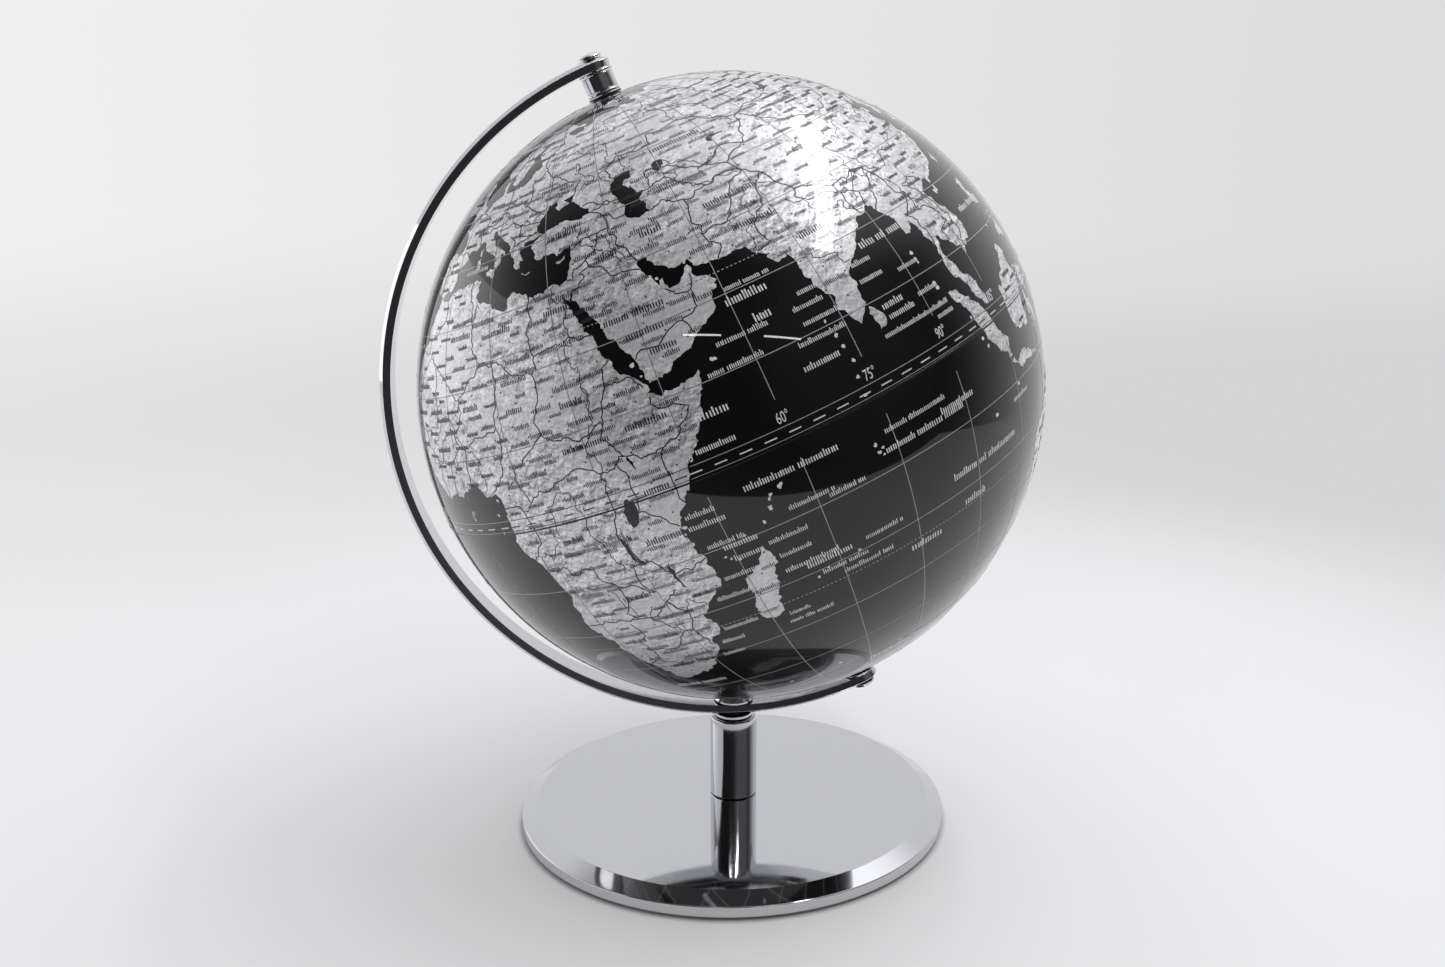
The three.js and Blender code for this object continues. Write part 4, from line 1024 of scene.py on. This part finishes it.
def build_lands(rng):
    """One piece for each land, and the coasts that tell the lines what they cross."""
    coasts, small = [], []
    for name, text in COASTS.items():
        coast = roughened(parse(text), rng)
        outline = direction(coast[:, 0], printed_latitude(coast[:, 1]))
        coasts.append(Coast(outline))
        part = patch(outline, PATCH["height"], PATCH["root"])
        if len(outline) > ISLAND_POINTS:
            map_piece(f"land_{name}", [part], LAND)
        else:
            small.append(part)
    map_piece("land_islands", small, LAND)
    lakes = []
    for text in LAKES.values():
        shore = roughened(parse(text), rng, share=0.1)
        outline = direction(shore[:, 0], printed_latitude(shore[:, 1]))
        lakes.append(patch(outline, PATCH["height"] + PATCH["lake_lift"], LINE_ROOT))
    map_piece("inland_waters", lakes, OCEAN)
    return coasts


def on_land(coasts, path):
    """Whether each unit vector of a path is on any land."""
    return np.any([coast.holds(path) for coast in coasts], axis=0)


def runs(flags):
    """Stretches of equal flags, as (flag, first, last)."""
    start = 0
    for i in range(1, len(flags) + 1):
        if i == len(flags) or flags[i] != flags[start]:
            yield bool(flags[start]), start, min(i, len(flags) - 1)
            start = i


def print_lines(coasts, lines):
    """Cuts lines where they meet a coast, and into dashes.

    A line is (path, width, dash, sea, land). The last two are the lists that take its strips.
    """
    flags = on_land(coasts, np.concatenate([line[0] for line in lines]))
    start = 0
    for path, width, dash, sea, land in lines:
        for over_land, first, last in runs(flags[start:start + len(path)]):
            stretch = path[first:last + 1]
            strips = [stretch]
            if dash:
                strips = [stretch[k:k + dash + 1] for k in range(0, len(stretch) - dash, 2 * dash)]
            height = PATCH["height"] * (2 if over_land else 1)
            taker = land if over_land else sea
            taker += [ribbon(strip, width, height) for strip in strips if len(strip) > 1]
        start += len(path)


def parallel(latitude, step=0.5):
    around = np.arange(-180, 180 + step, step)
    return direction(around, np.full(len(around), latitude))


def meridian(longitude, low, high, step=0.5):
    heights = np.arange(low, high + step / 2, step)
    return direction(np.full(len(heights), longitude), heights)


def build_borders(coasts, rng):
    """Borders and rivers as fine dark lines, only where they cross land."""
    for name, text in (("borders", BORDERS), ("rivers", RIVERS)):
        width, share = LINES[name]
        lines, strips = [], []
        for row in text.split(";"):
            line = roughened(parse(row), rng, closed=False, step=0.7, share=share)
            lines.append((direction(line[:, 0], printed_latitude(line[:, 1])), width, 0, [], strips))
        print_lines(coasts, lines)
        map_piece(f"map_{name}", strips, DARK_LINE)


def bars(marks, lift):
    """Upright bars on the sphere, from the (unit vector, width, height) of each, as one part."""
    centres, across, tall = (np.array(column) for column in zip(*marks))
    east = np.cross((0, 0, 1), centres)
    east /= np.linalg.norm(east, axis=1)[:, None]
    north = np.cross(centres, east)
    rows = []
    for level in (lift, LINE_ROOT):
        for x, y in ((-1, -1), (1, -1), (1, 1), (-1, 1)):
            shift = x * east * across[:, None] / 2 + y * north * tall[:, None] / 2
            rows.append(centres * (GLOBE_RADIUS + level) + shift)
    points = np.stack(rows, 1).reshape(-1, 3)
    box = [[0, 1, 2, 3], [7, 6, 5, 4]] + [[(k + 1) % 4, k, k + 4, (k + 1) % 4 + 4] for k in range(4)]
    return points, [[8 * n + k for k in side] for n in range(len(centres)) for side in box]


def caption(longitude, latitude, size, words, rng):
    """Stands for a place name: two thin plain bars for each letter, as (centre, width, height)."""
    marks = []
    pitch = math.degrees(LETTER["pitch"] * size / (GLOBE_RADIUS * math.cos(math.radians(latitude))))
    for letters in words:
        for _ in range(2 * letters):
            tall = size * rng.choice(LETTER["heights"])
            raised = math.degrees(tall / 2 / GLOBE_RADIUS)
            marks.append((direction(longitude, latitude + raised), LETTER["stroke"] * size, tall))
            longitude += pitch * rng.uniform(*LETTER["vary"])
        longitude += pitch
    return marks


def build_captions(coasts, rng):
    """Rows of bars for place names and round marks for towns, pale at sea and dark on land."""
    low, high = PATCH["height"], 2.4 * PATCH["height"]
    at_sea, ashore, dots, towns, rows = [], [], [], [], []
    for table, taker in ((SEA_CAPTIONS, at_sea), (LAND_CAPTIONS, ashore)):
        for longitude, latitude, size, *words in table:
            taker += caption(longitude, float(printed_latitude(latitude)), size, words, rng)
    for longitude, latitude in parse(ISLETS):
        spot = direction(longitude, float(printed_latitude(latitude)))
        dots.append(dot(spot, rng.uniform(*ISLET_DOTS["radii"]), low, rng=rng))
    spots = lattice(TOWNS["spacing"])
    for spot in spots[on_land(coasts, spots)]:
        if abs(spot[2]) > TOWNS["pole_limit"]:
            continue
        towns.append(dot(spot, TOWNS["radius"], high, 6))
        latitude = math.degrees(math.asin(spot[2])) + rng.uniform(-TOWNS["drift"], TOWNS["drift"])
        longitude = math.degrees(math.atan2(spot[1], spot[0])) - MAP_TURN + TOWNS["beside"]
        size = rng.uniform(*TOWNS["sizes"])
        letters = rng.randint(*TOWNS["letters"])
        rows.append(caption(longitude, latitude, size, [letters], rng))
    for row, whole in zip(rows, on_land(coasts, np.array([row[-1][0] for row in rows]))):
        if whole:
            ashore += row
    map_piece("captions_at_sea", [bars(at_sea, low), *dots], WHITE_LINE)
    map_piece("captions_on_land", [bars(ashore, high), *towns], DARK_LINE)


def build_graticule(coasts):
    """Parallels, meridians that stop short of the equator, dashed tropics and polar circles, the equator."""
    sea, land, white, dark = [], [], [], []
    lines = []
    for latitude in GRID["parallels"]:
        path = parallel(float(printed_latitude(latitude)))
        lines.append((path, GRID["parallel_width"], 0, sea, land))
    for longitude in GRID["meridians"]:
        for low, high in GRID["meridian_spans"]:
            lines.append((meridian(longitude, low, high), GRID["meridian_width"], 0, sea, land))
    for latitude in GRID["circles"]:
        path = parallel(float(printed_latitude(latitude)), 0.4)
        lines.append((path, GRID["circle_width"], 1, sea, land))
    for latitude, width, dash in EQUATOR_RULES:
        lines.append((parallel(latitude), width, dash, white if dash else sea, dark))
    print_lines(coasts, lines)
    map_piece("graticule_at_sea", sea, PALE_LINE)
    map_piece("graticule_on_land", land, GREY_LINE)
    map_piece("equator_dashes", white, WHITE_LINE)
    map_piece("equator_lines_on_land", dark, DARK_LINE)


def build_numerals():
    """Degrees of longitude beside the equator, from Blender's own plain font."""
    parts = []
    for longitude in range(-165, 181, 15):
        curve = bpy.data.curves.new("numeral", "FONT")
        curve.body = f"{abs(longitude)}\u00b0"
        curve.size = NUMERAL["size"]
        curve.align_x = "CENTER"
        curve.resolution_u = 3
        curve.extrude = NUMERAL["thickness"]
        flat = bpy.data.objects.new("numeral", curve)
        bpy.context.scene.collection.objects.link(flat)
        bpy.context.view_layer.update()
        mesh = flat.evaluated_get(bpy.context.evaluated_depsgraph_get()).to_mesh()
        faces = [list(polygon.vertices) for polygon in mesh.polygons]
        spots = np.array([tuple(vertex.co) for vertex in mesh.vertices])
        flat.to_mesh_clear()
        bpy.data.objects.remove(flat)
        bpy.data.curves.remove(curve)
        across = np.degrees(spots[:, 0] * NUMERAL["squeeze"] / GLOBE_RADIUS)
        upward = np.degrees(spots[:, 1] / GLOBE_RADIUS)
        radius = GLOBE_RADIUS + NUMERAL["lift"] + spots[:, 2]
        parts.append((direction(longitude + across, NUMERAL["latitude"] + upward) * radius[:, None], faces))
    map_piece("longitude_numerals", parts, WHITE_LINE)


# ---------------------------------------------------------------- build the object

build_stand()
build_arc()
for pole in POLE_PLACES:
    build_pole_stack(pole)
    build_shell(pole)
build_seam()

draw = random.Random(7)
LANDS = build_lands(draw)
build_borders(LANDS, draw)
build_graticule(LANDS)
build_captions(LANDS, draw)
build_numerals()

CAD_FINISHES = {
    "base_pad": FELT, "post_screw": STEEL, "post_screw_washer": STEEL, "arc_stud": STEEL,
    "equator_coupling": PLASTIC, "north_pole_bushing": PLASTIC, "south_pole_bushing": PLASTIC,
}
for node, finish in CAD_FINISHES.items():
    mesh = frame["nodes"][node].data
    mesh.materials.clear()
    mesh.materials.append(finish)

# ---------------------------------------------------------------- floor, light and camera

# The floor glows a little, so that the shadow round the base stays pale. Distances are metres.
FLOOR = {
    "dark": (0.44, 0.44, 0.447), "light": (0.475, 0.475, 0.482),
    "rings": (0.06, 0.12, 0.2, 0.3, 0.42, 0.56, 0.72, 0.9, 1.1),
    "glow": 0.235, "glow_from_to": (0.0855, 0.0885), "fade_from_to": (0.3, 0.75),
    "front": -0.43, "front_blur": 0.006,
}

# Soft lights in the surroundings: azimuth, elevation, core and edge radius in degrees, brightness.
SOFT_LIGHTS = [
    (112, 77, 15, 45, 0.9),
    (38, 20, 12, 40, 0.09),
]

FILL = 0.48  # even light that only matt surfaces get

# Flat lamps: the two ends of the middle line and the point each faces in metres, width, and power in watts.
LAMPS = {
    "overhead_strip": ((0.272, 0.37, 1.08), (0.47, -0.54, 1.08), (0, 0, 0.18), 0.09, 4.2),
    "left_panel": ((-1.15, -0.75, 0.31), (-1.15, 1.3, 0.31), (0, 0.275, 0.31), 0.62, 3.3),
    "far_tube_left": ((-0.727, -1.761, 1.1), (-0.293, -1.874, 1.12), (0, 0, 0.2), 0.022, 0.55),
    "far_tube_right": ((0.213, -1.892, 1.106), (0.646, -1.818, 1.046), (0, 0, 0.2), 0.022, 0.55),
}

# Distance in millimetres, angles in degrees.
CAMERA = {
    "distance": 554.0, "elevation": 9.83, "azimuth": -4.29, "yaw": 2.59, "pitch": 1.30, "roll": 0.56,
    "lens": 35.25, "shift_x": -0.0513, "shift_y": -0.0446,
}


def build_floor():
    """Pale floor. The camera sees it fade into the surroundings, and reflections see its front edge."""
    sides = 96
    angles = [2 * math.pi * k / sides for k in range(sides)]
    points, faces = [(0, 0, 0)], []
    for ring, radius in enumerate(FLOOR["rings"]):
        outer = 1 + ring * sides
        points += [(radius * math.cos(angle), radius * math.sin(angle), 0) for angle in angles]
        for k in range(sides):
            m = (k + 1) % sides
            inside_edge = [outer - sides + m, outer - sides + k] if ring else [0]
            faces.append([outer + k, outer + m, *inside_edge])
    mesh = bpy.data.meshes.new("floor")
    mesh.from_pydata(points, [], faces)
    made, tree, shader, where = material(
        "floor_paint", Roughness=0.75, Emission_Color=(1, 1, 1, 1))
    feed(tree, shader, Base_Color=shades(tree, noise(tree, where, 6, 4), FLOOR["dark"], FLOOR["light"]))
    away = add(tree, "VectorMath", {0: where}, operation="LENGTH").outputs["Value"]
    feed(tree, shader, Emission_Strength=ramp(tree, away, *FLOOR["glow_from_to"], 0, FLOOR["glow"]))
    forward = add(tree, "SeparateXYZ", {"Vector": where}).outputs["Y"]
    clear = add(tree, "BsdfTransparent").outputs[0]
    fade = ramp(tree, away, *FLOOR["fade_from_to"])
    front, blur = FLOOR["front"], FLOOR["front_blur"]
    edge = ramp(tree, forward, front + blur, front - blur)
    seen = add(tree, "LightPath").outputs["Is Camera Ray"]
    hidden = add(tree, "Mix", {0: seen, 2: edge, 3: fade}).outputs[0]
    mixed = add(tree, "MixShader", {0: hidden, 1: shader.outputs[0], 2: clear}).outputs[0]
    tree.links.new(mixed, tree.nodes["Material Output"].inputs["Surface"])
    mesh.materials.append(made)
    floor = bpy.data.objects.new("floor", mesh)
    bpy.context.scene.collection.objects.link(floor)


def aim(azimuth, elevation):
    """Unit vector: azimuth is degrees from -Y towards +X."""
    az, el = math.radians(azimuth), math.radians(elevation)
    return (math.sin(az) * math.cos(el), -math.cos(az) * math.cos(el), math.sin(el))


def build_lamps():
    """Lamps that only reflections see.

    The strip overhead draws the long streak on the globe, the far tubes draw the two short ones, and the
    low panel lights the left side.
    """
    for name, (start, end, target, width, power) in LAMPS.items():
        start, end = Vector(start), Vector(end)
        light = bpy.data.lights.new(name, "AREA")
        light.shape = "RECTANGLE"
        light.size = (end - start).length
        light.size_y = width
        light.energy = power
        middle = (start + end) / 2
        facing = (Vector(target) - middle).normalized()
        across = (end - start).cross(facing).normalized()
        along = facing.cross(across)
        lamp = bpy.data.objects.new(name, light)
        turn = Matrix((along, -across, -facing)).transposed().to_4x4()
        lamp.matrix_world = Matrix.Translation(middle) @ turn
        lamp.visible_camera = False
        bpy.context.scene.collection.objects.link(lamp)


def build_world():
    """Pale room seen by the camera. Reflections see a pale back and sides and a dark front."""
    world = bpy.data.worlds.new("room")
    world.use_nodes = True
    tree = world.node_tree
    tree.nodes.clear()
    way = add(tree, "TexCoord").outputs["Generated"]
    axes = add(tree, "SeparateXYZ", {"Vector": way}).outputs
    back = ramp(tree, axes["Y"], -0.3, 0.6, 0.03, 0.8)
    high, left = ramp(tree, axes["Z"], 0.3, 0.5), ramp(tree, axes["X"], 0.15, -0.4)
    upper_left = math_node(tree, "MULTIPLY", math_node(tree, "MULTIPLY", high, left),
                           ramp(tree, axes["Y"], 0.55, 0.25))
    dimmed = math_node(tree, "MULTIPLY_ADD", upper_left, -0.6, 1.0)
    glow = math_node(tree, "MULTIPLY", back, dimmed)
    for azimuth, elevation, core, edge, brightness in SOFT_LIGHTS:
        facing = add(tree, "VectorMath", {0: way, 1: aim(azimuth, elevation)}, operation="DOT_PRODUCT")
        lobe = ramp(tree, facing.outputs["Value"], math.cos(math.radians(edge)), math.cos(math.radians(core)))
        glow = math_node(tree, "MULTIPLY_ADD", lobe, brightness, glow)
    rays = add(tree, "LightPath").outputs
    glow = math_node(tree, "MULTIPLY_ADD", rays["Is Diffuse Ray"], FILL, glow)
    room = add(tree, "Background", {"Color": (1.0, 1.0, 1.02, 1), "Strength": glow}).outputs[0]
    off_table_end = math_node(tree, "ABSOLUTE", math_node(tree, "ADD", axes["Z"], 0.18))
    height = ramp(tree, off_table_end, 0.0, 0.13, 0.2, 0.65)
    sideways = math_node(tree, "MULTIPLY_ADD", axes["X"], -0.7, height)
    wall = shades(tree, sideways, (0.655, 0.655, 0.665), (0.88, 0.88, 0.885))
    backdrop = add(tree, "Background", {"Color": wall, "Strength": 1.0}).outputs[0]
    mixed = add(tree, "MixShader", {0: rays["Is Camera Ray"], 1: room, 2: backdrop}).outputs[0]
    tree.links.new(mixed, add(tree, "OutputWorld").inputs["Surface"])
    bpy.context.scene.world = world


def build_camera():
    """Camera on a circle about the globe's centre, then turned a little off it by yaw, pitch and roll."""
    degrees = {key: math.radians(CAMERA[key]) for key in ("elevation", "azimuth", "yaw", "pitch", "roll")}
    side, rise = degrees["azimuth"], degrees["elevation"]
    away = Vector((math.sin(side) * math.cos(rise), -math.cos(side) * math.cos(rise), math.sin(rise)))
    heading, dip = degrees["yaw"] - side, rise + degrees["pitch"]
    ahead = Vector((math.sin(heading) * math.cos(dip), math.cos(heading) * math.cos(dip), -math.sin(dip)))
    right = Vector((math.cos(heading), -math.sin(heading), 0))
    up = right.cross(ahead)
    roll = degrees["roll"]
    right, up = right * math.cos(roll) + up * math.sin(roll), up * math.cos(roll) - right * math.sin(roll)
    lens = bpy.data.cameras.new("camera")
    lens.lens = CAMERA["lens"]
    lens.sensor_width = 36
    lens.shift_x = CAMERA["shift_x"]
    lens.shift_y = CAMERA["shift_y"]
    lens.clip_start = 0.01
    camera = bpy.data.objects.new("camera", lens)
    camera.matrix_world = Matrix((right, up, -ahead)).transposed().to_4x4()
    camera.location = (GLOBE_CENTRE + away * CAMERA["distance"]) * MM
    bpy.context.scene.collection.objects.link(camera)
    bpy.context.scene.camera = camera


build_floor()
build_lamps()
build_world()
build_camera()
bpy.context.scene.view_settings.view_transform = "Standard"
